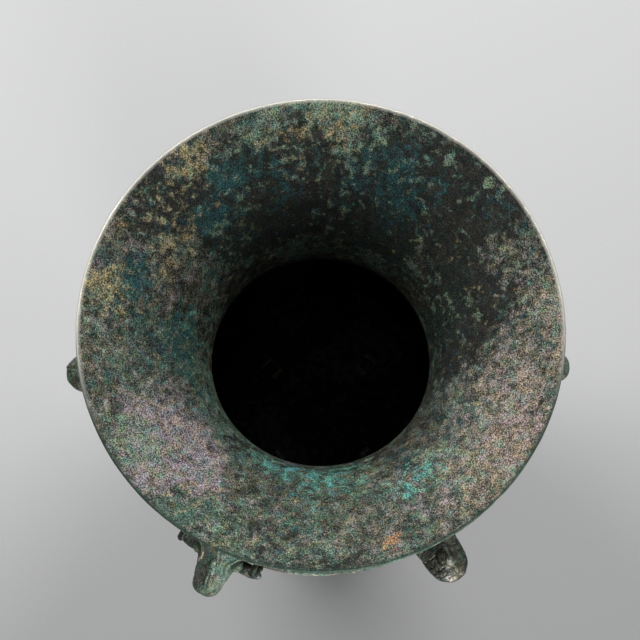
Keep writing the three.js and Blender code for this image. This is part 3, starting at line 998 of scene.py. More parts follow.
@dataclass
class Strip:
    """A turned piece laid flat: a closed outline repeated in columns round the axis.

    The field inside gives the painted shade inside the vessel at each point of the outline, or the mask of
    the lip's painted highlight and shade where it is below zero.
    """

    outline: Array
    angles: Array
    inside: Array
    relief: Array | None = None
    capped: bool = False

    def build(self, name: str, finish: Material, lumps: Point, rise: float = 0.0) -> Piece:
        """Lays the strip out with the numbers that the tree and the finish read, and turns it.

        Args:
            name: The piece's name.
            finish: The finish.
            lumps: How uneven the casting is, and how large its lumps are.
            rise: How high its relief stands.

        Returns:
            The piece.
        """
        rows, columns = len(self.outline), len(self.angles)
        out = right_hand(np.vstack([self.outline[-1:], self.outline, self.outline[:1]]))[1:-1]
        turn = np.repeat(self.angles, rows)
        row, column = np.meshgrid(np.arange(rows), np.arange(columns - 1))
        first = (column * rows + row).ravel()
        after = (column * rows + (row + 1) % rows).ravel()
        faces = np.stack([first, first + rows, after + rows, after], axis=1).tolist()
        if self.capped:
            faces += [list(range(rows)), list(range(columns * rows - 1, (columns - 1) * rows - 1, -1))]
        mesh = bpy.data.meshes.new(name)
        flat = np.stack([turn, np.tile(np.arange(rows), columns), 0 * turn], axis=1) * MM
        mesh.from_pydata(flat, [], faces)
        carry(mesh, "turn", turn)
        carry(mesh, "relief", np.zeros(columns * rows) if self.relief is None else self.relief.ravel())
        # The numbers inside and edge carry the painted shade inside the vessel and the mask of the lip's
        # painted highlight and shade.
        for label, values in {
            "radius": self.outline[:, 0] * MM, "height": self.outline[:, 1] * MM,
            "out": out[:, 0], "up": out[:, 1],
            "inside": np.clip(self.inside, 0, 1), "edge": np.clip(-self.inside, 0, 1),
        }.items():
            carry(mesh, label, np.tile(values, columns))
        return grown(name, mesh, turned_tree(), {
            "Relief": rise * MM, "Unevenness": lumps[0] * MM, "Lump Size": lumps[1] * MM, "Seed": LUMP_SEED,
            "Finish": finish})


@dataclass
class Mouth:
    """The neck with its bowstring ribs, and the wide flaring mouth above it."""

    wall: Wall
    finish: Material
    columns: int = 480
    outer_steps: tuple[int, int] = (40, 84)
    inner_steps: tuple[int, int] = (12, 56)
    rib_pitch: float = 10.5
    rib_drop: float = 4.0
    lip_bulge: float = 0.4
    lip_lift: float = 0.6
    lip_steps: int = 6
    # How far the lip's painted highlight and shade reach: a ramp from the outer face to the inner one, and a
    # share on the first row inside.
    lip_light_ramp: Place = (-0.4, 1.2, 0.5)
    # Where the painted shade inside the neck starts, and how far it fades in.
    inner_shade_line: float = 2.0
    inner_shade_fade: float = 16.0
    lumps: Point = (0.9, 26.0)

    def drawn(self, steps: tuple[int, int]) -> Array:
        """The smooth outside of the neck and the mouth, with a number of steps for each."""
        return np.vstack([self.wall.neck(steps[0])[:-1], self.wall.flare(steps[1])])

    def build(self) -> Piece:
        """Turns the neck and mouth as one wall.

        Returns:
            The piece.
        """
        wall = self.wall
        middle = wall.neck_height - self.rib_drop
        ribs = [middle + step * self.rib_pitch for step in (-1, 0, 1)]
        outside = wall.ribbed(self.drawn(self.outer_steps), ribs)
        inside = moved(self.drawn(self.inner_steps), -wall.wall)[::-1]
        lip = bezier(
            tuple(outside[-1]), (wall.mouth_radius + self.lip_bulge, wall.height - wall.wall + self.lip_lift),
            (wall.mouth_radius - self.lip_bulge, wall.height), tuple(inside[0]), self.lip_steps)[1:-1]
        # The inside of the neck darkens downwards into the body as painted shade.
        painted_inner_shade = eased((wall.neck_height + self.inner_shade_line - inside[:, 1]) / self.inner_shade_fade)
        # The mask of the lip's painted highlight and shade is stored below zero.
        outer, inner, last = self.lip_light_ramp
        painted_inner_shade[0] = -last
        lip_light_mask = -eased(np.linspace(outer, inner, len(lip)))
        marks = np.concatenate([np.zeros(len(outside)), lip_light_mask, painted_inner_shade])
        angles = np.linspace(0, TURN, self.columns + 1)
        strip = Strip(np.vstack([outside, lip, inside]), angles, marks)
        return strip.build("mouth_and_neck", self.finish, self.lumps)


@dataclass(frozen=True)
class Face:
    """A decorated face of the wall, with a figure that is mirrored and repeated round it."""

    line: Array
    figure: Ornament
    mean_radius: float
    repeat: float = TURN / FIGURES

    def runs(self) -> Array:
        """How far each point of the outline lies from its start, along it."""
        steps = np.linalg.norm(np.diff(self.line, axis=0), axis=1)
        return np.concatenate([[0.0], np.cumsum(steps)])

    def folded(self, angles: Array) -> Array:
        """How far angles lie from the middle of the nearest figure."""
        return np.abs((angles + self.repeat / 2) % self.repeat - self.repeat / 2)

    def rise(self, angles: Array, runs: Array) -> Array:
        """How high the figure stands at angles and distances along the outline."""
        spots = np.stack([self.folded(angles) * self.mean_radius, runs], axis=-1)
        return self.figure.relief(spots.reshape(-1, 2)).reshape(angles.shape)

    def relief(self, angles: Array) -> Array:
        """How high the figure stands, a row of numbers for each angle."""
        return self.rise(*np.meshgrid(angles, self.runs(), indexing="ij"))

    def stand(self, angles: Array, runs: Array) -> tuple[Array, Array, Array]:
        """Finds places on the face.

        Args:
            angles: Angles round the axis.
            runs: Distances along the outline.

        Returns:
            The places, the ways out of the metal, and the ways round the axis.
        """
        known, out = self.runs(), right_hand(self.line)
        radius, height, lean, climb = (np.interp(runs, known, numbers) for numbers in (*self.line.T, *out.T))
        cosine, sine = np.cos(angles), np.sin(angles)
        places = np.stack([radius * cosine, radius * sine, height], axis=1) * MM
        outward = np.stack([lean * cosine, lean * sine, climb], axis=1)
        return places, outward, np.stack([-sine, cosine, 0 * sine], axis=1)


@dataclass
class Panel:
    """A length of wall with one decorated face, turned from a closed outline."""

    name: str
    face: Face
    rest: Array
    inside: Array
    angles: Array
    finish: Material
    rise: float
    capped: bool = False
    lumps: Point = (0.7, 24.0)

    def build(self) -> Piece:
        """Turns the wall and raises its figure.

        Returns:
            The piece.
        """
        outline = np.vstack([self.face.line, self.rest])
        plain = np.zeros((len(self.angles), len(self.rest)))
        relief = np.hstack([self.face.relief(self.angles), plain])
        inside = np.concatenate([np.zeros(len(self.face.line)), self.inside])
        strip = Strip(outline, self.angles, inside, relief, self.capped)
        return strip.build(self.name, self.finish, self.lumps, self.rise)


@dataclass
class Body:
    """The shoulder, the belly and the ring foot of the vessel."""

    wall: Wall
    finish: Material
    rivet: Rivet = Rivet()
    belly_columns: int = 400
    ring_columns: int = 720
    belly_rows: int = 180
    shoulder_rows: int = 60
    foot_rows: int = 84
    belly_rise: float = 2.6
    shoulder_rise: float = 1.9
    foot_rise: float = 2.0
    belly_middle: float = 175.0
    shoulder_middle: float = 160.0
    foot_middle: float = 121.0
    foot_ribs_at: Point = (0.69, 0.91)
    cross_span: float = 22.0
    cross_arm: float = 8.0
    cross_depth: float = 14.0
    hole_reach: float = 30.0
    seat_gap: float = 0.2
    seat_rise: float = 0.3
    root_lap: float = 2.0
    floor_lap: float = 1.5
    edge_round: Point = (-1.4, 0.4)
    fold: tuple[Point, ...] = ((-4.0, -3.0), (0.2, -2.4), (0.2, 0.0))
    sole: tuple[Point, ...] = ((-4.4, 0.4), (-3.8, 0.0), (-1.2, 0.0), (-0.3, 0.3))
    crisp_angle: float = 62.0
    fold_steps: int = 7
    ring_skip: int = 6
    belly_skip: int = 10
    floor_steps: int = 10
    floor_round: Point = (4.0, 1.0)
    floor_reach: float = 7.0
    seat_sides: int = 180
    seat_steps: tuple[int, int] = (40, 8)

    def belly_face(self) -> Face:
        """The outside of the belly, from its base up to the folded edge."""
        return Face(self.wall.belly(self.belly_rows), MASK, self.belly_middle)

    def shoulder_face(self) -> Face:
        """The top of the shoulder, from the folded edge in to the neck's root.

        Returns:
            The face.
        """
        wall = self.wall
        edge = shifted((wall.shoulder_radius, wall.shoulder_height), self.edge_round)
        root = (wall.neck_root_radius - self.root_lap, wall.shoulder_height + wall.shoulder_rise)
        return Face(straight(edge, root, self.shoulder_rows), DRAGON, self.shoulder_middle)

    def foot_ribs(self) -> list[float]:
        """Heights of the two bowstring ribs of the foot."""
        return [share * self.wall.foot_height for share in self.foot_ribs_at]

    def foot_face(self) -> Face:
        """The outside of the foot, from its plain band up to the belly."""
        line = self.wall.ribbed(self.wall.foot(self.foot_rows), self.foot_ribs())
        return Face(line, FOOT_DRAGON, self.foot_middle)

    def seat(self) -> Mesh:
        """Fills the vessel up, as the solid that the ornaments stand on.

        Returns:
            The solid's mesh.
        """
        wall, gap = self.wall, self.seat_gap
        belly_steps, neck_steps = self.seat_steps
        outline = [
            (0, wall.foot_height), *(wall.belly(belly_steps) + (gap, 0)),
            (wall.shoulder_radius + gap, wall.shoulder_height + self.seat_rise),
            (wall.neck_root_radius, wall.shoulder_height + wall.shoulder_rise + gap),
            *(wall.neck(neck_steps)[1:] + (gap, 0)), (0, wall.neck_height)]
        return lathe("seat", [tuple(point) for point in outline], self.seat_sides)

    def build(self, pockets: Iterable[Mesh]) -> list[Piece]:
        """Builds the shoulder, the three panels of the belly and the foot.

        Args:
            pockets: Blocks that cut the pockets of the spacers.

        Returns:
            The pieces.
        """
        whole_turn = np.linspace(0, TURN, self.ring_columns + 1)
        half = TURN / ORNAMENTS
        shoulder = self.shoulder(whole_turn).build()
        panels = []
        for count in range(FIGURES):
            middle = count * TURN / FIGURES
            angles = np.linspace(middle - half, middle + half, self.belly_columns + 1)
            panels.append(self.belly(count + 1, angles).build())
        foot = self.foot(whole_turn).build()
        vents = [self.cross(half + count * TURN / FIGURES) for count in range(FIGURES)]
        for cutter in [*vents, *pockets]:
            join(foot, cutter, Join.CUT)
        for count in range(ORNAMENTS):
            hole = self.rivet.hole(self.wall.shoulder_height, self.hole_reach, count * half)
            join(shoulder, hole, Join.CUT)
        pieces = [shoulder, *panels, foot]
        for piece in pieces:
            crisp(piece, self.crisp_angle)
        return pieces

    def shoulder(self, angles: Array) -> Panel:
        """Draws the shoulder with its rounded fold.

        Args:
            angles: The angles of its columns.

        Returns:
            The panel.
        """
        face, wall = self.shoulder_face(), self.wall
        under = moved(face.line, -wall.wall)[::-self.ring_skip]
        corner = (wall.shoulder_radius, wall.shoulder_height)
        pulls = [shifted(corner, step) for step in self.fold]
        fold = bezier(*pulls, tuple(face.line[0]), self.fold_steps)[:-1]
        # The shoulder's underside, inside the vessel, is darkened as painted shade.
        inside = np.repeat((1.0, 0.0), (len(under), len(fold)))
        rest = np.vstack([under, fold])
        return Panel("shoulder", face, rest, inside, angles, self.finish, self.shoulder_rise)

    def belly(self, count: int, angles: Array) -> Panel:
        """Draws one panel of the belly, from one bird's flange to the next.

        Args:
            count: The panel's number.
            angles: The angles of its columns.

        Returns:
            The panel.
        """
        face = self.belly_face()
        inside = moved(face.line, -self.wall.wall)[::-self.belly_skip]
        # The belly's inner wall is darkened all over as painted shade.
        return Panel(f"belly_panel_{count}", face, inside, np.ones(len(inside)), angles, self.finish,
                     self.belly_rise, capped=True)

    def foot(self, angles: Array) -> Panel:
        """Draws the ring foot with the vessel's floor.

        Args:
            angles: The angles of its columns.

        Returns:
            The panel.
        """
        face, wall = self.foot_face(), self.wall
        floor_top = wall.foot_height + wall.floor
        side = wall.base_radius - self.floor_lap
        rounding, drop = self.floor_round
        reach = wall.foot_top_radius - self.floor_reach
        floor = np.vstack([
            [(side, wall.foot_height), (side, floor_top - drop)],
            straight((wall.base_radius - rounding, floor_top), (0, floor_top), self.floor_steps),
            straight((0, wall.foot_height), (reach, wall.foot_height), self.floor_steps)])
        inside = moved(wall.foot(self.foot_rows), -wall.foot_wall)
        inside = inside[inside[:, 1] < wall.foot_height - self.floor_lap][::-self.ring_skip]
        sole = np.array([shifted((wall.foot_radius, 0.0), step) for step in self.sole])
        # The vessel's floor is darkened on both faces as painted shade.
        inner_shaded = np.repeat((1.0, 0.0), (len(floor), len(inside) + len(sole)))
        rest = np.vstack([floor, inside, sole])
        return Panel("ring_foot", face, rest, inner_shaded, angles, self.finish, self.foot_rise)

    def cross(self, angle: float) -> Mesh:
        """Makes a cross-shaped block that cuts one vent in the foot.

        Args:
            angle: The vent's angle.

        Returns:
            The block's mesh.
        """
        made = bmesh.new()
        height = sum(self.foot_ribs()) / 2
        half, arm = self.cross_span / 2, self.cross_arm / 2
        corners = [(arm, half), (arm, arm), (half, arm), (half, -arm), (arm, -arm), (arm, -half)]
        ring = corners + [(-across, -up) for across, up in corners]
        near, far = (
            [made.verts.new((self.wall.foot_top_radius + depth, across, height + up)) for across, up in ring]
            for depth in (-self.cross_depth, self.cross_depth))
        made.faces.new(near[::-1])
        made.faces.new(far)
        for corner in range(len(ring)):
            made.faces.new((near[corner - 1], near[corner], far[corner], far[corner - 1]))
        bmesh.ops.recalc_face_normals(made, faces=made.faces)
        return finished_mesh("cross", made, Matrix.Rotation(angle, 4, "Z"))


# What repeats round the wall


@cache
def ring_tree() -> Tree:
    """Makes the tree that sets copies of a piece round the axis.

    Returns:
        The tree.
    """
    graph, start = Graph.geometry("ring of copies", {"Count": "Int", "Start": "Float"})
    dots = graph.node("GeometryNodePoints", {"Count": start["Count"]})
    step = graph.math("DIVIDE", TURN, start["Count"])
    number = graph.node("GeometryNodeInputIndex").outputs[0]
    turn = graph.math("MULTIPLY_ADD", number, step, start["Start"])
    spin = graph.node("ShaderNodeCombineXYZ", {2: turn})
    copies = graph.node("GeometryNodeInstanceOnPoints", {
        "Points": dots, "Instance": start["Geometry"], "Rotation": spin})
    return graph.close(copies, start["Finish"])


@cache
def stamp_tree() -> Tree:
    """Makes the tree that sets a stamp on each point of a face, turned to stand on it.

    Returns:
        The tree.
    """
    graph, start = Graph.geometry("stamps on a face", {"Stamp": "Object"})
    stamp = graph.node("GeometryNodeObjectInfo", {"Object": start["Stamp"]}).outputs["Geometry"]
    ways = [graph.attribute(name, "FLOAT_VECTOR") for name in ("outward", "along")]
    turn = graph.node(
        "FunctionNodeAxesToRotation", dict(enumerate(ways)), primary_axis="Z", secondary_axis="X")
    stamped = graph.node("GeometryNodeInstanceOnPoints", {
        "Points": start["Geometry"], "Instance": stamp, "Rotation": turn})
    return graph.close(stamped, start["Finish"])


class Stamp(Enum):
    """What is stamped into the ground of the decorated faces."""

    SPIRAL = "square spiral"
    RING = "small ring"


@dataclass
class Stamps:
    """Rows of one small mark on a decorated face, wherever its figure leaves room."""

    name: str
    face: Face
    finish: Material
    rows: Array
    mark: Stamp = Stamp.SPIRAL
    size: float = 5.6
    pitch: float = 6.5
    line: float = 0.78
    rise: float = 0.85
    clear: float = 7.0
    window: Point = (0.0, TURN / ORNAMENTS)
    ground: float = 0.04
    spiral_end: float = 0.3
    ring_sides: int = 12
    ring_width: float = 1.6

    def build(self) -> Piece:
        """Stamps the face.

        Returns:
            The piece.
        """
        places, outward, along = self.face.stand(*self.spots())
        dots = bpy.data.meshes.new(self.name)
        dots.from_pydata(places, [], [])
        along[::2] *= -1
        for label, values in (("outward", outward), ("along", along)):
            made = dots.attributes.new(label, "FLOAT_VECTOR", "POINT")
            made.data.foreach_set("vector", values.astype(np.float32).ravel())
        stamp = linked("stamp", self.spiral() if self.mark is Stamp.SPIRAL else self.ring())
        piece = grown(self.name, dots, stamp_tree(), {"Stamp": stamp, "Finish": self.finish})
        bpy.data.objects.remove(stamp)
        return piece

    def spots(self) -> tuple[Array, Array]:
        """Finds where the marks go: evenly along each row, where the figure leaves room.

        Returns:
            The angle of each mark, and its distance along the outline.
        """
        known = self.face.runs()
        half = self.size / 2
        found = []
        for run in self.rows:
            radius = np.interp(run, known, self.face.line[:, 0])
            count = int(TURN * radius / self.pitch) // ORNAMENTS * ORNAMENTS
            angles = (np.arange(count) + 0.5) * TURN / count
            folded = self.face.folded(angles)
            low, high = self.window
            free = (folded > low + self.clear / radius) & (folded < high - self.clear / radius)
            for across in (-half, 0, half):
                for up in (-half, 0, half):
                    free &= self.face.rise(angles + across / radius, np.full(count, run + up)) < self.ground
            found.append(np.stack([angles[free], np.full(free.sum(), run)], axis=1))
        spots = np.vstack(found)
        return spots[:, 0], spots[:, 1]

    def spiral(self) -> Mesh:
        """Makes a square spiral.

        Returns:
            Its mesh.
        """
        half, gap = self.size / 2, 2 * self.line
        inner = half - gap
        end = self.spiral_end - inner
        path = np.array([(-half, -half + gap), (-half, half), (half, half), (half, -half), (-inner, -half),
                         (-inner, inner), (inner, inner), (inner, end), (-inner + gap, end)])
        turn = np.sign(np.gradient(path, axis=0)) * self.line / 2
        side = np.stack([turn[:, 1], -turn[:, 0]], axis=1)
        return ridge("spiral", path - side, path + side, self.rise, closed=False)

    def ring(self) -> Mesh:
        """Makes a small ring.

        Returns:
            Its mesh.
        """
        turn = np.linspace(0, TURN, self.ring_sides, endpoint=False)
        circle = np.stack([np.cos(turn), np.sin(turn)], axis=1)
        half = self.size / 2
        inner = half - self.ring_width * self.line
        return ridge("ring", circle * half, circle * inner, self.rise, closed=True)


RIDGE_SLOPE = 0.2
RIDGE_ROOT = -0.5
RIDGE_RELIEF = (0.7, 0.1)


def ridge(name: str, left: Array, right: Array, rise: float, closed: bool) -> Mesh:
    """A low ridge between two lines, rooted a little below the ground.

    Args:
        name: The mesh's name.
        left: One foot of the ridge.
        right: The other foot, with as many points.
        rise: How high it stands.
        closed: Whether it runs round to its start.

    Returns:
        The mesh.
    """
    count = len(left)
    shrink = RIDGE_SLOPE * (right - left)
    corners = ((left + shrink, rise), (right - shrink, rise), (right, RIDGE_ROOT), (left, RIDGE_ROOT))
    points = np.vstack([np.column_stack([line, np.full(count, height)]) for line, height in corners]) * MM
    sides = [(side * count, (side + 1) % 4 * count) for side in range(4)]
    faces = []
    for step in range(count if closed else count - 1):
        after = (step + 1) % count
        faces += [(first + step, second + step, second + after, first + after) for first, second in sides]
    if not closed:
        start = tuple(first for first, _ in sides)
        faces += [start[::-1], tuple(first + count - 1 for first in start)]
    mesh = bpy.data.meshes.new(name)
    mesh.from_pydata(points, [], faces)
    shape = bmesh.new()
    shape.from_mesh(mesh)
    bmesh.ops.recalc_face_normals(shape, faces=shape.faces)
    shape.to_mesh(mesh)
    shape.free()
    carry(mesh, "relief", np.repeat(RIDGE_RELIEF, 2 * count))
    return mesh


@dataclass
class Flanges:
    """Six hooked flanges that stand out from the wall."""

    name: str
    line: Array
    bottom: float
    top: float
    hooks: int
    finish: Material
    thickness: float = 7.0
    reach: float = 13.0
    root: float = 2.4
    slot: float = 4.2
    slot_depth: float = 8.6
    bevel: float = 0.8
    taper: float = 0.3
    groove: float = 0.7
    groove_width: float = 1.5
    groove_lean: Point = (-3.0, 1.0)
    groove_inset: Point = (3.2, 2.6)
    groove_at: float = 0.6
    bevel_profile: float = 0.6
    root_steps: int = 5

    def out(self, height: float, reach: float) -> Point:
        """The point at a height and at a distance out from the wall."""
        line = moved(self.line, reach)
        return float(np.interp(height, line[:, 1], line[:, 0])), height

    def plate(self) -> Mesh:
        """Cuts one flange out, with bevelled edges and a line along each hook.

        Returns:
            Its mesh.
        """
        pitch = (self.top - self.bottom + self.slot) / self.hooks
        edge: list[Point] = []
        lines: list[tuple[Point, Point]] = []
        floor = self.reach - self.slot_depth
        for count in range(self.hooks):
            low = self.bottom + count * pitch
            high = low + pitch - self.slot
            edge += [self.out(low, self.reach), self.out(high, self.reach)]
            middle = (low + high) / 2
            lines.append((self.out(middle + self.groove_lean[0], self.groove_inset[0]),
                          self.out(middle + self.groove_lean[1], self.reach - self.groove_inset[1])))
            if count < self.hooks - 1:
                edge += [self.out(high - self.slot, floor), self.out(high, floor)]
        heights = np.linspace(self.top, self.bottom, self.root_steps)
        edge += [self.out(float(height), -self.root) for height in heights]
        shape = bmesh.new()
        half = self.thickness / 2
        side = shape.faces.new([shape.verts.new((radius, -half, height)) for radius, height in edge])
        other_side = bmesh.ops.extrude_face_region(shape, geom=[side])["geom"]
        far = [part for part in other_side if isinstance(part, bmesh.types.BMVert)]
        bmesh.ops.translate(shape, verts=far, vec=(0, self.thickness, 0))
        bmesh.ops.recalc_face_normals(shape, faces=shape.faces)
        bmesh.ops.bevel(shape, geom=list(shape.edges), offset=self.bevel, segments=2,
                        profile=self.bevel_profile, affect="EDGES")
        for vert in shape.verts:
            stand = vert.co.x - self.out(vert.co.z, 0)[0]
            vert.co.y *= 1 - self.taper * min(max(stand / self.reach, 0), 1)
        plate = linked(self.name, finished_mesh(self.name, shape))
        join(plate, self.line_cutter(lines), Join.CUT)
        return loosened(plate)

    def line_cutter(self, lines: Iterable[tuple[Point, Point]]) -> Mesh:
        """Makes the blocks that cut a shallow line on both sides of each hook.

        Args:
            lines: The start and the end of each line.

        Returns:
            The blocks as one mesh.
        """
        shape = bmesh.new()
        height = 4.0
        depth = self.thickness / 2 * (1 - self.groove_at * self.taper) - self.groove + height / 2
        for start, end in lines:
            along = Vector((end[0] - start[0], 0, end[1] - start[1]))
            turn = Matrix.Rotation(-math.atan2(along.z, along.x), 4, "Y")
            sizes = Matrix.Diagonal((along.length, height, self.groove_width, 1))
            for way in (-1, 1):
                middle = Vector(((start[0] + end[0]) / 2, way * depth, (start[1] + end[1]) / 2))
                bmesh.ops.create_cube(shape, size=1, matrix=Matrix.Translation(middle) @ turn @ sizes)
        return finished_mesh("lines", shape)

    def build(self) -> Piece:
        """Sets six flanges round the wall."""
        sizes = {"Count": ORNAMENTS, "Start": 0.0, "Finish": self.finish}
        return grown(self.name, self.plate(), ring_tree(), sizes)


# Wax models of the heads and the birds


class View(Enum):
    """The side that a cut is drawn from, with the way that it is pressed onto the wax."""

    SIDE = (0, -1, 0)
    TOP = (0, 0, -1)
    FRONT = (-1, 0, 0)


@dataclass(frozen=True)
class Cut:
    """A line pressed into the wax, or raised on it where the depth is below zero.

    It is drawn flat: inward and up from the side, inward and across from the top, or across and up from the
    front.
    """

    view: View
    points: tuple[Point, ...]
    width: float = 1.1
    depth: float = 0.9
    far_side: float = 90.0
    far_up: float = 120.0
    far_front: float = -60.0

    def start(self, point: Point, side: int) -> Place:
        """Finds where a point of the drawing starts, well off the wax.

        Args:
            point: The point.
            side: One for the left side, minus one for the right one.

        Returns:
            Its place, as inward, across and up.
        """
        first, second = point
        if self.view is View.SIDE:
            return first, side * self.far_side, second
        if self.view is View.TOP:
            return first, side * second, self.far_up
        return self.far_front, side * first, second


@dataclass(frozen=True)
class Limb:
    """A loft over ovals: inward and up of each one's middle, half its width and half its height."""

    stations: tuple[tuple[float, float, float, float], ...]
    roundness: float = 1.0


@dataclass(frozen=True)
class Oval:
    """A ball of wax with three radii, tipped by a pitch, and repeated on the other side if it is a pair."""

    radii: Place
    place: Place
    pitch: float = 0.0
    pair: bool = True


def coil(centre: Point, outer: float, inner: float, turns: float, start: float = 0.0) -> tuple[Point, ...]:
    """Draws a coil, or an arc where both radii are one.

    Args:
        centre: Its centre.
        outer: The radius that it starts from.
        inner: The radius that it ends at.
        turns: How many turns it makes.
        start: The angle that it starts from.

    Returns:
        Its points.
    """
    fewest, each_turn = 6, 10
    share = np.linspace(0, 1, max(fewest, int(each_turn * abs(turns))) + 1)
    angle = start + turns * TURN * share
    radius = outer + (inner - outer) * share
    return tuple(zip(centre[0] + radius * np.cos(angle), centre[1] + radius * np.sin(angle)))


def scale(centre: Point, radius: float, width: float, depth: float = 0.7) -> Cut:
    """A half ring on the side of the wax, as one scale of a coat or of plumage."""
    return Cut(View.SIDE, coil(centre, radius, radius, 0.5, math.pi / 2), width, depth)


@dataclass
class WaxModel:
    """An ornament on the shoulder, modelled in wax from lofts and balls, with lines cut in it.

    The end caps are ovals past a loft's ends: how far out each lies, and its share of the last one's size.
    """

    name: str
    limbs: tuple[Limb, ...]
    ovals: tuple[Oval, ...]
    cuts: tuple[Cut, ...]
    finish: Material
    reach: float = 246.0
    floor: float = 312.0
    sides: int = 32
    rings: int = 18
    steps: int = 5
    voxel: float = 0.8
    melting: int = 5
    softness: float = 0.5
    line_edge: float = 1.15
    end_caps: tuple[Point, ...] = ((0.2, 0.88), (0.36, 0.66), (0.44, 0.36))

    def at(self, place: Place) -> Vector:
        """A place given as inward, across and up, in the vessel's frame."""
        inward, across, up = place
        return Vector((self.reach - inward, across, self.floor + up))

    def build(self) -> Piece:
        """Melts the lofts and balls into one skin and cuts the lines.

        Returns:
            The model at angle zero.
        """
        shape = bmesh.new()
        for limb in self.limbs:
            self.loft(shape, limb)
        for oval in self.ovals:
            inward, across, up = oval.place
            stretch = Matrix.Rotation(oval.pitch, 4, "Y") @ Matrix.Diagonal((*oval.radii, 1))
            for side in (1, -1) if oval.pair else (1,):
                placing = Matrix.Translation(self.at((inward, side * across, up))) @ stretch
                bmesh.ops.create_uvsphere(
                    shape, u_segments=self.sides, v_segments=self.rings, radius=1, matrix=placing)
        piece = linked(self.name, finished_mesh(self.name, shape))
        melt = piece.modifiers.new("melt", "REMESH")
        melt.mode = "VOXEL"
        melt.voxel_size = self.voxel * MM
        soften = piece.modifiers.new("soften", "SMOOTH")
        soften.factor = self.softness
        soften.iterations = self.melting
        settle(piece)
        self.press(piece.data)
        piece.data.materials.clear()
        piece.data.materials.append(self.finish)
        piece.data.shade_smooth()
        return piece

    def loft(self, shape: Shape, limb: Limb, inset: float = 0.0) -> None:
        """Adds a closed loft, with rounded ends unless it is drawn in.

        Args:
            shape: The shape that it is added to.
            limb: Its stations.
            inset: How far its skin is drawn in.
        """
        stations = smooth_line(limb.stations, self.steps)
        along = np.gradient(stations[:, :2], axis=0)
        along /= np.linalg.norm(along, axis=1)[:, None]
        if not inset:
            stations, along = self.rounded(stations, along)
        turn = np.linspace(0, TURN, self.sides, endpoint=False)
        wide, high = (np.sign(part) * np.abs(part) ** limb.roundness for part in (np.cos(turn), np.sin(turn)))
        rings = []
        for (inward, up, half_width, half_height), (back, climb) in zip(stations, along):
            rise = (half_height - inset) * high
            across = (half_width - inset) * wide
            rings.append([shape.verts.new(self.at((inward + lift * climb, side, up - lift * back)))
                          for lift, side in zip(rise, across)])
        faces = [shape.faces.new((ring[side - 1], ring[side], after[side], after[side - 1]))
                 for ring, after in zip(rings, rings[1:]) for side in range(self.sides)]
        faces += [shape.faces.new(rings[0]), shape.faces.new(rings[-1])]
        bmesh.ops.recalc_face_normals(shape, faces=faces)

    def rounded(self, stations: Array, along: Array) -> tuple[Array, Array]:
        """Adds smaller ovals past both ends of a loft.

        Args:
            stations: The loft's ovals.
            along: The way that it runs at each of them.

        Returns:
            The ovals and ways with the added ones.
        """
        ends = []
        for number, way in ((0, -1), (-1, 1)):
            end = stations[number]
            out = way * min(end[2:]) * along[number]
            caps = [[*(end[:2] + past * out), *(share * end[2:])] for past, share in self.end_caps]
            ends.append(np.array(caps))
        first, last = (np.repeat(along[[number]], len(self.end_caps), axis=0) for number in (0, -1))
        return np.vstack([ends[0][::-1], stations, ends[1]]), np.vstack([first, along, last])

    def press(self, mesh: Mesh) -> None:
        """Presses the lines into the wax and notes how far each point moved.

        Args:
            mesh: The wax.
        """
        count = len(mesh.vertices)
        points, normals = np.empty((2, count * 3), np.float32)
        mesh.vertices.foreach_get("co", points)
        mesh.vertices.foreach_get("normal", normals)
        points, normals = points.reshape(-1, 3) / MM, normals.reshape(-1, 3)
        skin = BVHTree.FromPolygons(points.tolist(), [list(face.vertices) for face in mesh.polygons])
        moves = np.zeros(count)
        for cut in self.cuts:
            for side in (1, -1):
                line = self.pressed_line(cut, side, skin)
                if len(line) < 2:
                    continue
                near = np.all((points > line.min(0) - cut.width) & (points < line.max(0) + cut.width), axis=1)
                away, _ = off_line(points[near], line, np.zeros(len(line)))
                move = -cut.depth * eased(self.line_edge - away / cut.width)
                moves[near] = np.where(np.abs(move) > np.abs(moves[near]), move, moves[near])
        moved_points = (points + moves[:, None] * normals) * MM
        mesh.vertices.foreach_set("co", moved_points.astype(np.float32).ravel())
        carry(mesh, "relief", 0.5 + 0.5 * np.clip(moves, -1, 1))
        mesh.update()

    def pressed_line(self, cut: Cut, side: int, skin: BVHTree) -> Array:
        """Presses a drawn line straight onto the skin.

        Args:
            cut: The line.
            side: One for the left side, minus one for the right one.
            skin: The skin.

        Returns:
            The points where it meets the skin.
        """
        way = Vector(cut.view.value)
        if cut.view is View.SIDE:
            way.y *= side
        starts = [self.at(cut.start(tuple(point), side)) for point in smooth_line(cut.points, self.steps)]
        hits = [skin.ray_cast(start, way)[0] for start in starts]
        return np.array([hit for hit in hits if hit is not None])


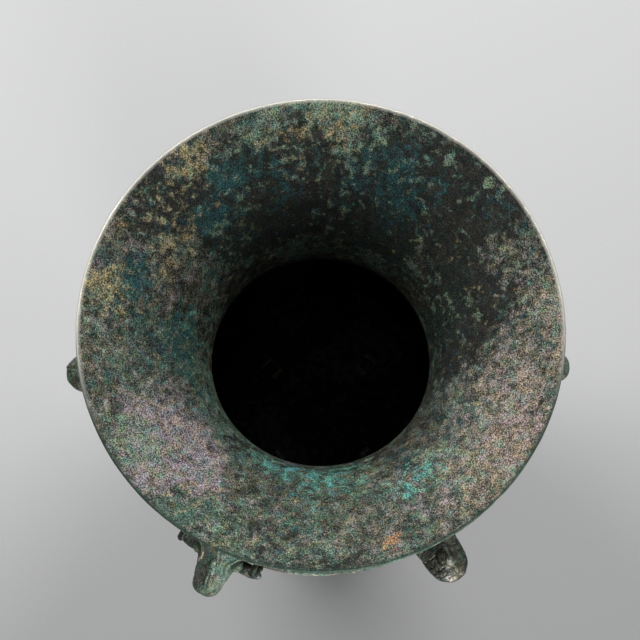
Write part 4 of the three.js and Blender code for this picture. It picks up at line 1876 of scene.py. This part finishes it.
@cache
def horn_tree() -> Tree:
    """Makes the tree that sweeps a ridged, tapering horn along a path.

    Returns:
        The tree.
    """
    tip_start, tip_fullness, ridge_sharpness = 0.96, 1.02, 0.6
    graph, start = Graph.geometry("ridged horn", {
        "Root Radius": "Float", "Tip Radius": "Float", "Ridges": "Float", "Ridge Depth": "Float",
        "Steps": "Int", "Sides": "Int"})
    path = graph.node("GeometryNodeMeshToCurve", {"Mesh": start["Geometry"]})
    fine = graph.node("GeometryNodeResampleCurve", {"Curve": path, "Count": start["Steps"]})
    share = graph.node("GeometryNodeSplineParameter").outputs["Factor"]
    drop = graph.math("SUBTRACT", start["Tip Radius"], start["Root Radius"])
    taper = graph.math("MULTIPLY_ADD", share, drop, start["Root Radius"])
    phase = graph.math("MULTIPLY", graph.math("MULTIPLY", share, start["Ridges"]), math.pi)
    wave = graph.math("POWER", graph.math("ABSOLUTE", graph.math("SINE", phase)), ridge_sharpness)
    groove = graph.math("MULTIPLY", graph.math("SUBTRACT", 1.0, wave), start["Ridge Depth"])
    past = graph.math("MAXIMUM", graph.math("SUBTRACT", share, tip_start), 0.0)
    end = graph.math("DIVIDE", past, 1 - tip_start)
    tip = graph.math("SQRT", graph.math("SUBTRACT", tip_fullness, graph.math("MULTIPLY", end, end)))
    radius = graph.math("MULTIPLY", graph.math("SUBTRACT", taper, groove), tip)
    ring = graph.node("GeometryNodeCurvePrimitiveCircle", {"Resolution": start["Sides"], "Radius": 1.0})
    tube = graph.node("GeometryNodeCurveToMesh", {
        "Curve": fine, "Profile Curve": ring, "Scale": radius, "Fill Caps": True})
    return graph.close(tube, start["Finish"])


@dataclass
class RamsHead:
    """A hollow ram's head with two coiled horns, fastened by a cast rivet through the shoulder."""

    finish: Material
    rivet: Rivet = Rivet(top=347.0)
    wall: float = 4.4
    clearance: float = 0.3
    horn_root: float = 8.2
    horn_tip: float = 3.0
    horn_steps: int = 260
    horn_sides: int = 28
    path_steps: int = 8
    ridges: float = 24.0
    ridge_depth: float = 1.1
    crisp_angle: float = 55.0
    skull: Limb = Limb((
        (79, 27, 15, 13), (73, 24, 23, 22), (58, 16, 26.5, 26.5), (44, 7, 23.5, 24.5), (30, -3, 18.5, 20.5),
        (18, -12, 15.5, 17.5), (8.5, -19, 14, 14.5), (5.4, -22, 10, 9.4)), 0.85)
    brow: Limb = Limb(((52, 38, 4, 6), (34, 23, 6, 7), (12, 1, 5, 6)))
    eye: Oval = Oval((7.5, 6.4, 7), (36, 20, 16))
    ear: Oval = Oval((7, 17, 4.5), (40, 28, -12), 0.5)
    horn_path: tuple[Place, ...] = (
        (39, 9.5, 10), (44, 12, 24), (55, 20, 43), (69, 30, 38.5), (76, 36, 25), (68, 39, 14), (53, 40, 10.5),
        (39, 40, 14), (34, 39, 23), (40, 38, 30), (48, 37.5, 29))

    def model(self) -> WaxModel:
        """Models the head in wax, with its carved lines.

        Returns:
            The model.
        """
        side, top = View.SIDE, View.TOP
        coat = [scale((54 + 8 * row, -2 + 7 * step + 4 * row), 4.2, 0.9)
                for row in range(3) for step in range(-1, 4)]
        cuts = (
            Cut(side, coil((36, 16), 8.6, 8.6, 1.0), 1.2, 1.1),
            Cut(side, coil((36, 16), 3.0, 3.0, 1.0), 0.9, 0.8),
            Cut(side, ((24, 13), (30, 22.5), (38, 26), (47, 22)), 2.2, -1.7),
            Cut(side, ((4, -23.5), (9, -25), (16, -21.5), (23, -17), (30, -13)), 1.2, 1.5),
            Cut(side, coil((31, -4), 7.5, 1.2, 1.75, -1.2), 1.1, 1.1),
            Cut(side, coil((9, -15), 3.8, 0.8, 1.2, 2.4), 1.1, 1.2),
            Cut(side, ((17, -3), (22, 4), (27, 7)), 1.0, 0.9),
            Cut(side, ((13, -7), (18, 0), (23, 5)), 1.0, -0.7),
            Cut(side, ((42, -14), (47, -4), (49, 6)), 1.2, 1.1),
            Cut(top, ((31, 0), (26, 3.6), (20, 0)), 0.8, 0.8),
            Cut(top, ((18, 1.6), (12, 1.9), (6, 2.2)), 0.8, 0.7),
            Cut(top, ((36, 2.0), (42, 2.4), (48, 2.0)), 0.8, 0.7),
            Cut(View.FRONT, ((0, -12), (0, -17), (2.6, -20)), 1.0, 0.9),
            Cut(side, ((35, -15), (41, -12), (46, -10.5)), 1.4, 1.0),
            *coat,
        )
        return WaxModel("ram_head", (self.skull, self.brow), (self.eye, self.ear), cuts, self.finish)

    def build(self, seat: Mesh) -> list[Casting]:
        """Casts three heads with their horns, and with room inside each for its clay core.

        Args:
            seat: The solid that the heads stand on.

        Returns:
            The pieces, each with the node that it stands for.
        """
        wax = self.model()
        head = wax.build()
        join(head, seat.copy(), Join.CUT)
        room = bmesh.new()
        wax.loft(room, Limb(self.skull.stations[1:-2], self.skull.roundness), self.wall)
        join(head, finished_mesh("room", room), Join.CUT)
        for side in (1, -1):
            join(head, loosened(self.horn(wax, side, self.clearance)), Join.CUT)
        join(head, self.rivet.mesh(), Join.FUSE)
        crisp(head, self.crisp_angle)
        made = turned_copies(head, numbered("ram_head", FIGURES))
        for side, label in ((1, "_left"), (-1, "_right")):
            made += turned_copies(self.horn(wax, side), numbered("ram_horn", FIGURES, label))
        return made

    def horn(self, wax: WaxModel, side: int, growth: float = 0.0) -> Piece:
        """Sweeps one horn, or the socket that holds it.

        Args:
            wax: The head, which places it.
            side: One for the left horn, minus one for the right one.
            growth: How much larger than the horn it is.

        Returns:
            The piece.
        """
        line = smooth_line(self.horn_path, self.path_steps)
        places = [wax.at((inward, side * across, up)) * MM for inward, across, up in line]
        path = bpy.data.meshes.new("horn")
        path.from_pydata(places, [(step, step + 1) for step in range(len(places) - 1)], [])
        return grown("horn", path, horn_tree(), {
            "Root Radius": (self.horn_root + growth) * MM, "Tip Radius": (self.horn_tip + growth) * MM,
            "Ridges": self.ridges, "Ridge Depth": self.ridge_depth * MM, "Steps": self.horn_steps,
            "Sides": self.horn_sides, "Finish": self.finish})


@dataclass
class Bird:
    """A bird that stands on a low mound, fastened by a cast rivet through the shoulder."""

    finish: Material
    rivet: Rivet = Rivet()
    crisp_angle: float = 55.0
    trunk: Limb = Limb((
        (98, 52, 9, 2.2), (86, 46, 12, 4), (72, 38, 14.5, 8), (56, 31, 18, 13.5), (38, 27, 20.5, 16.5),
        (20, 27, 20, 16), (8, 29, 17, 12.5), (1.5, 30.5, 11, 7.5)))
    neck: Limb = Limb(((23, 30, 11, 11), (20, 42, 9, 9.5), (20, 52, 8, 8.5), (22, 60, 6.5, 7)))
    beak: Limb = Limb(((16, 58, 5.5, 5.5), (7, 57, 3.6, 4), (2.5, 52.5, 2, 2.6), (1.6, 47.5, 0.9, 1)))
    crest: Limb = Limb(((16, 66, 1.8, 3), (26, 69, 1.8, 5), (36, 67, 1.6, 3.5), (43, 62, 1.2, 1.6)))
    skull: Oval = Oval((10.5, 8.5, 9), (19, 0, 59), pair=False)
    wing: Oval = Oval((31, 5, 11.5), (57, 17.5, 33), 0.35)
    mound: Oval = Oval((27, 18, 9), (60, 0, 3), pair=False)
    leg: Oval = Oval((5, 5, 16), (50, 9, 9))
    claw: Oval = Oval((9, 4.5, 3), (45, 9, 4.5))
    wing_slope: float = 0.365

    def model(self) -> WaxModel:
        """Models the bird in wax, with its feathers.

        Returns:
            The model.
        """
        side, top = View.SIDE, View.TOP
        vane = [(inward, 33 + self.wing_slope * (inward - 57)) for inward in (46, 58, 72, 84)]
        wing = [Cut(side, tuple(shifted(point, (0, step)) for point in vane), 1.1, 1.1)
                for step in (-6.5, -2.2, 2.2, 6.5)]
        breast = [scale((10 + 6.5 * row, 17 + 6.5 * step + 3 * (row % 2)), 3.4, 0.8)
                  for row in range(4) for step in range(4)]
        tail = [Cut(top, ((70, 1.5 + 2 * step), (84, 2.0 + 2.3 * step), (97, 2.2 + 2.4 * step)), 0.8, 0.8)
                for step in range(3)]
        cuts = (
            *wing, *breast, *tail,
            Cut(side, coil((37, 25.5), 7.2, 1.2, 1.8, 0.4), 1.1, 1.1),
            Cut(side, coil((17.5, 61), 3.4, 3.4, 1.0), 0.9, 0.8),
            Cut(side, coil((17.5, 61), 0.8, 0.8, 1.0), 1.1, -0.9),
            Cut(side, ((13, 57.5), (7, 55.6), (3.6, 51.5)), 0.8, 0.8),
            Cut(side, ((17, 66), (27, 69.5), (38, 66)), 0.8, 0.6),
            Cut(side, ((12, 43), (20, 41.5), (30, 42.5)), 0.9, 0.8),
            Cut(side, ((12, 47), (20, 45.8), (29, 47)), 0.9, 0.8),
            Cut(side, coil((50, 4), 4.6, 1.0, 1.5, 0.0), 1.0, 0.9),
            Cut(side, coil((70, 5), 4.2, 1.0, 1.5, 2.0), 1.0, 0.9),
        )
        limbs = (self.trunk, self.neck, self.beak, self.crest)
        ovals = (self.skull, self.wing, self.mound, self.leg, self.claw)
        return WaxModel("bird", limbs, ovals, cuts, self.finish)

    def build(self, seat: Mesh) -> list[Casting]:
        """Casts three birds.

        Args:
            seat: The solid that the birds stand on.

        Returns:
            The pieces, each with the node that it stands for.
        """
        bird = self.model().build()
        join(bird, seat.copy(), Join.CUT)
        join(bird, self.rivet.mesh(), Join.FUSE)
        crisp(bird, self.crisp_angle)
        return turned_copies(bird, numbered("bird", FIGURES), TURN / ORNAMENTS)


# Spacers


@dataclass
class Spacers:
    """Square bits of old bronze that kept the mould's cores apart and stayed in the wall."""

    finish: Material
    side: float = 12.4
    floor_count: int = 4
    floor_place: float = 71.98
    floor_middle: float = 125.15
    floor_depth: float = 5.9
    foot_count: int = 3
    foot_place: float = 110.9
    foot_middle: float = 97.9
    foot_depth: float = 5.8
    inner_shade_line: float = 126.0
    worn: float = 0.7
    unevenness: float = 0.02
    spare: float = 0.6
    crisp_angle: float = 50.0
    seed: int = 5

    def block(self, name: str, sizes: Place, place: Place, worn: float) -> Piece:
        """Makes one spacer, a square with worn corners and uneven faces, or the block that cuts its pocket.

        Args:
            name: Its name.
            sizes: Its sizes.
            place: Its middle.
            worn: How far its corners are worn away.

        Returns:
            The piece at angle zero.
        """
        shape = bmesh.new()
        bmesh.ops.create_cube(shape, size=1, matrix=Matrix.Diagonal((*sizes, 1)))
        if worn:
            chance = np.random.default_rng(self.seed)
            bmesh.ops.bevel(
                shape, geom=list(shape.edges), offset=worn, segments=2, profile=0.5, affect="EDGES")
            bmesh.ops.subdivide_edges(shape, edges=list(shape.edges), cuts=2, use_grid_fill=True)
            bmesh.ops.triangulate(shape, faces=list(shape.faces))
            for vert in shape.verts:
                vert.co *= 1 - self.unevenness * float(chance.random())
        mesh = finished_mesh(name, shape, Matrix.Translation(place))
        # Spacers above this height sit on the vessel's floor and carry the painted shade inside it.
        carry(mesh, "inside", [float(vert.co.z > self.inner_shade_line * MM) for vert in mesh.vertices])
        mesh.materials.append(self.finish)
        mesh.shade_smooth()
        piece = linked(name, mesh)
        crisp(piece, self.crisp_angle)
        return piece

    def round_axis(self, spare: float, worn: float) -> list[Casting]:
        """Makes blocks for the spacers of the floor and of the foot.

        Args:
            spare: How much wider than a spacer they are.
            worn: How far their corners are worn away.

        Returns:
            The solids' names, each with its block.
        """
        side = self.side + spare
        floor = self.block("floor_spacer", (side, side, self.floor_depth + spare),
                           (self.floor_place, 0, self.floor_middle), worn)
        foot = self.block("foot_spacer", (self.foot_depth + 4 * spare, side, side),
                          (self.foot_place, 0, self.foot_middle), worn)
        made = turned_copies(floor, numbered("floor_spacer", self.floor_count), TURN / (2 * self.floor_count))
        return made + turned_copies(foot, numbered("foot_spacer", self.foot_count))

    def pockets(self) -> list[Mesh]:
        """Makes the blocks that cut the spacers' pockets."""
        return [loosened(block) for _, block in self.round_axis(self.spare, 0.0)]

    def build(self) -> list[Casting]:
        """Makes the spacers, each with the name of its solid."""
        return self.round_axis(0.0, self.worn)


# Studio


@dataclass(frozen=True)
class Lamp:
    """A square soft lamp, in metres, that faces the mouth."""

    name: str
    place: Place
    power: float
    size: float = 1.2
    spread: float = 180.0


@dataclass(frozen=True)
class Studio:
    """Pale floor, soft light and the camera, in metres and degrees."""

    target: Place = (0.0, 0.0, 0.48)
    distance: float = 2.0
    azimuth: float = -2.0
    elevation: float = 75.15
    focal: float = 2184.0
    image: float = 640.0
    slide: Point = (-0.7, 8.3)
    backdrop: Colour = (0.58, 0.58, 0.58)
    floor_dark: Colour = (0.48, 0.48, 0.48)
    floor_light: Colour = (0.51, 0.51, 0.508)
    floor_half: float = 9.0
    floor_fade: Point = (0.7, 2.2)
    sky: Colour = (0.9, 0.93, 1.0)
    sky_strength: float = 0.14
    lamps: tuple[Lamp, ...] = (
        Lamp("left lamp", (-1.4, 1.4, 1.8), 56.0),
        Lamp("right lamp", (1.15, 1.6, 1.8), 50.0),
        Lamp("low front lamp", (0.7, -2.2, 0.4), 10.0, 0.8, 50.0),
    )

    def build(self) -> None:
        """Sets up the floor, the lamps, the world and the camera."""
        self.camera()
        self.floor()
        self.lights()

    def camera(self) -> None:
        """Looks down into the mouth from the photograph's angle."""
        data = bpy.data.cameras.new("camera")
        data.lens = self.focal * data.sensor_width / self.image
        data.shift_x, data.shift_y = (part / self.image for part in self.slide)
        turn, tilt = math.radians(self.azimuth), math.radians(self.elevation)
        back = Vector((math.sin(turn) * math.cos(tilt), -math.cos(turn) * math.cos(tilt), math.sin(tilt)))
        camera = linked("camera", data)
        camera.location = Vector(self.target) + self.distance * back
        camera.rotation_euler = (-back).to_track_quat("-Z", "Y").to_euler()
        bpy.context.scene.camera = camera

    def floor(self) -> None:
        """Lays a wide pale floor under the foot."""
        half = self.floor_half
        mesh = bpy.data.meshes.new("floor")
        corners = [(-half, -half, 0), (half, -half, 0), (half, half, 0), (-half, half, 0)]
        mesh.from_pydata(corners, [], [(0, 1, 2, 3)])
        material, graph, place = Graph.material("pale floor")
        tone = graph.mix(graph.noise(place, 3), self.floor_dark, self.floor_light)
        shader = graph.node("ShaderNodeBsdfPrincipled", {
            "Base Color": tone, "Roughness": 0.8, "Specular IOR Level": 0.1})
        away = graph.vector("LENGTH", place).outputs["Value"]
        seen = graph.math("MULTIPLY", self.in_sight(graph), graph.span(away, *self.floor_fade))
        far = graph.node("ShaderNodeEmission", {"Color": (*self.backdrop, 1), "Strength": 1.0})
        both = graph.node("ShaderNodeMixShader", {0: seen, 1: shader, 2: far})
        graph.node("ShaderNodeOutputMaterial", {"Surface": both})
        mesh.materials.append(material)
        linked("floor", mesh)

    @staticmethod
    def in_sight(graph: Graph) -> Socket:
        """Whether the plain background is seen, straight on, in a reflection or through glass."""
        rays = graph.node("ShaderNodeLightPath").outputs
        return graph.math("MAXIMUM", rays["Is Camera Ray"], graph.math(
            "MAXIMUM", rays["Is Glossy Ray"], rays["Is Transmission Ray"]))

    def lights(self) -> None:
        """Hangs the lamps and fills the rest with an even light, behind a plain background."""
        for lamp in self.lamps:
            data = bpy.data.lights.new(lamp.name, "AREA")
            data.energy = lamp.power
            data.size = lamp.size
            data.spread = math.radians(lamp.spread)
            hung = linked(lamp.name, data)
            hung.location = lamp.place
            aim = Vector(self.target) - Vector(lamp.place)
            hung.rotation_euler = aim.to_track_quat("-Z", "Y").to_euler()
        world = bpy.data.worlds.new("studio")
        world.use_nodes = True
        graph = Graph(world.node_tree)
        shade = graph.node("ShaderNodeBackground", {"Color": (*self.sky, 1), "Strength": self.sky_strength})
        seen = graph.node("ShaderNodeBackground", {"Color": (*self.backdrop, 1), "Strength": 1.0})
        both = graph.node("ShaderNodeMixShader", {0: self.in_sight(graph), 1: shade, 2: seen})
        graph.node("ShaderNodeOutputWorld", {"Surface": both})
        bpy.context.scene.world = world
        bpy.context.scene.view_settings.view_transform = "Standard"


# The whole vessel


def place_piece(piece: Piece, slot: str, *nodes: str) -> None:
    """Fixes a finished piece to the vessel's one body.

    Args:
        piece: The piece.
        slot: The record's material slot that its finish belongs to; not used.
        nodes: The solids that it stands for.
    """
    mesh = piece.data
    finish = next(material for material in mesh.materials if material)
    mesh.materials.clear()
    mesh.materials.append(finish)
    mesh.polygons.foreach_set("material_index", [0] * len(mesh.polygons))
    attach(piece, "root")
    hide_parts(*nodes)
    log.info("%s: %d triangles", piece.name, sum(len(face.vertices) - 2 for face in mesh.polygons))


def main() -> None:
    """Builds every piece in order and reports each one."""
    logging.basicConfig(level=logging.INFO, format="%(name)s %(message)s")
    Studio().build()
    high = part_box("vessel")[1]
    wall = Wall(height=high.z / MM, mouth_radius=high.y / MM)
    mouth = Patina("mouth bronze", MOUTH_MINERALS, MOUTH_BLOOMS, wall).material()
    carved = Patina("carved bronze", CARVED_MINERALS, carved=0.35, mottle=0.3, pits=0.25,
                    peaks=1.6).material()
    ornament = Patina("ornament bronze", ORNAMENT_MINERALS, carved=0.4, mottle=0.3, pits=0.2,
                      peaks=1.4).material()
    spacer = Patina("spacer bronze", SPACER_MINERALS, dark=(0.070, 0.056, 0.038), worn=(0.180, 0.150, 0.105),
                    pits=0.3, peaks=1.5).material()
    body, spacers = Body(wall, carved), Spacers(spacer)
    belly, foot, shoulder = body.belly_face(), body.foot_face(), body.shoulder_face()
    flanges = (
        Flanges("belly_flanges", belly.line, wall.foot_height + 18, wall.shoulder_height - 54, 5, carved),
        Flanges("foot_flanges", wall.foot(body.foot_rows), wall.foot_band + 5, body.foot_ribs()[0] - 8, 3,
                carved),
    )
    marks = (
        Stamps("belly_spirals", belly, carved, np.arange(15, 197, 6.7)),
        Stamps("shoulder_spirals", shoulder, carved, np.arange(7, 75, 6.7), window=(0.2, 0.88)),
        Stamps("foot_spirals", foot, carved, np.arange(13.5, 70, 6.4), size=5.3, pitch=6.2),
        Stamps("belly_rings", belly, carved, np.array([7.0, 201.0]), Stamp.RING, 6.4, 7.6, 1.0, clear=-9),
    )
    pieces = [Mouth(wall, mouth).build(), *body.build(spacers.pockets())]
    pieces += [part.build() for part in (*flanges, *marks)]
    for piece in pieces:
        place_piece(piece, "vessel_bronze", "vessel")
    seat = body.seat()
    for node, piece in [*RamsHead(ornament).build(seat), *Bird(ornament).build(seat)]:
        place_piece(piece, "ornament_bronze", node)
    for node, piece in spacers.build():
        place_piece(piece, "spacer_bronze", node)
    clay = FiredClay().material()
    for node in numbered("clay_core", FIGURES):
        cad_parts[node].material_slots[0].material = clay


if __name__ == "__main__":
    main()
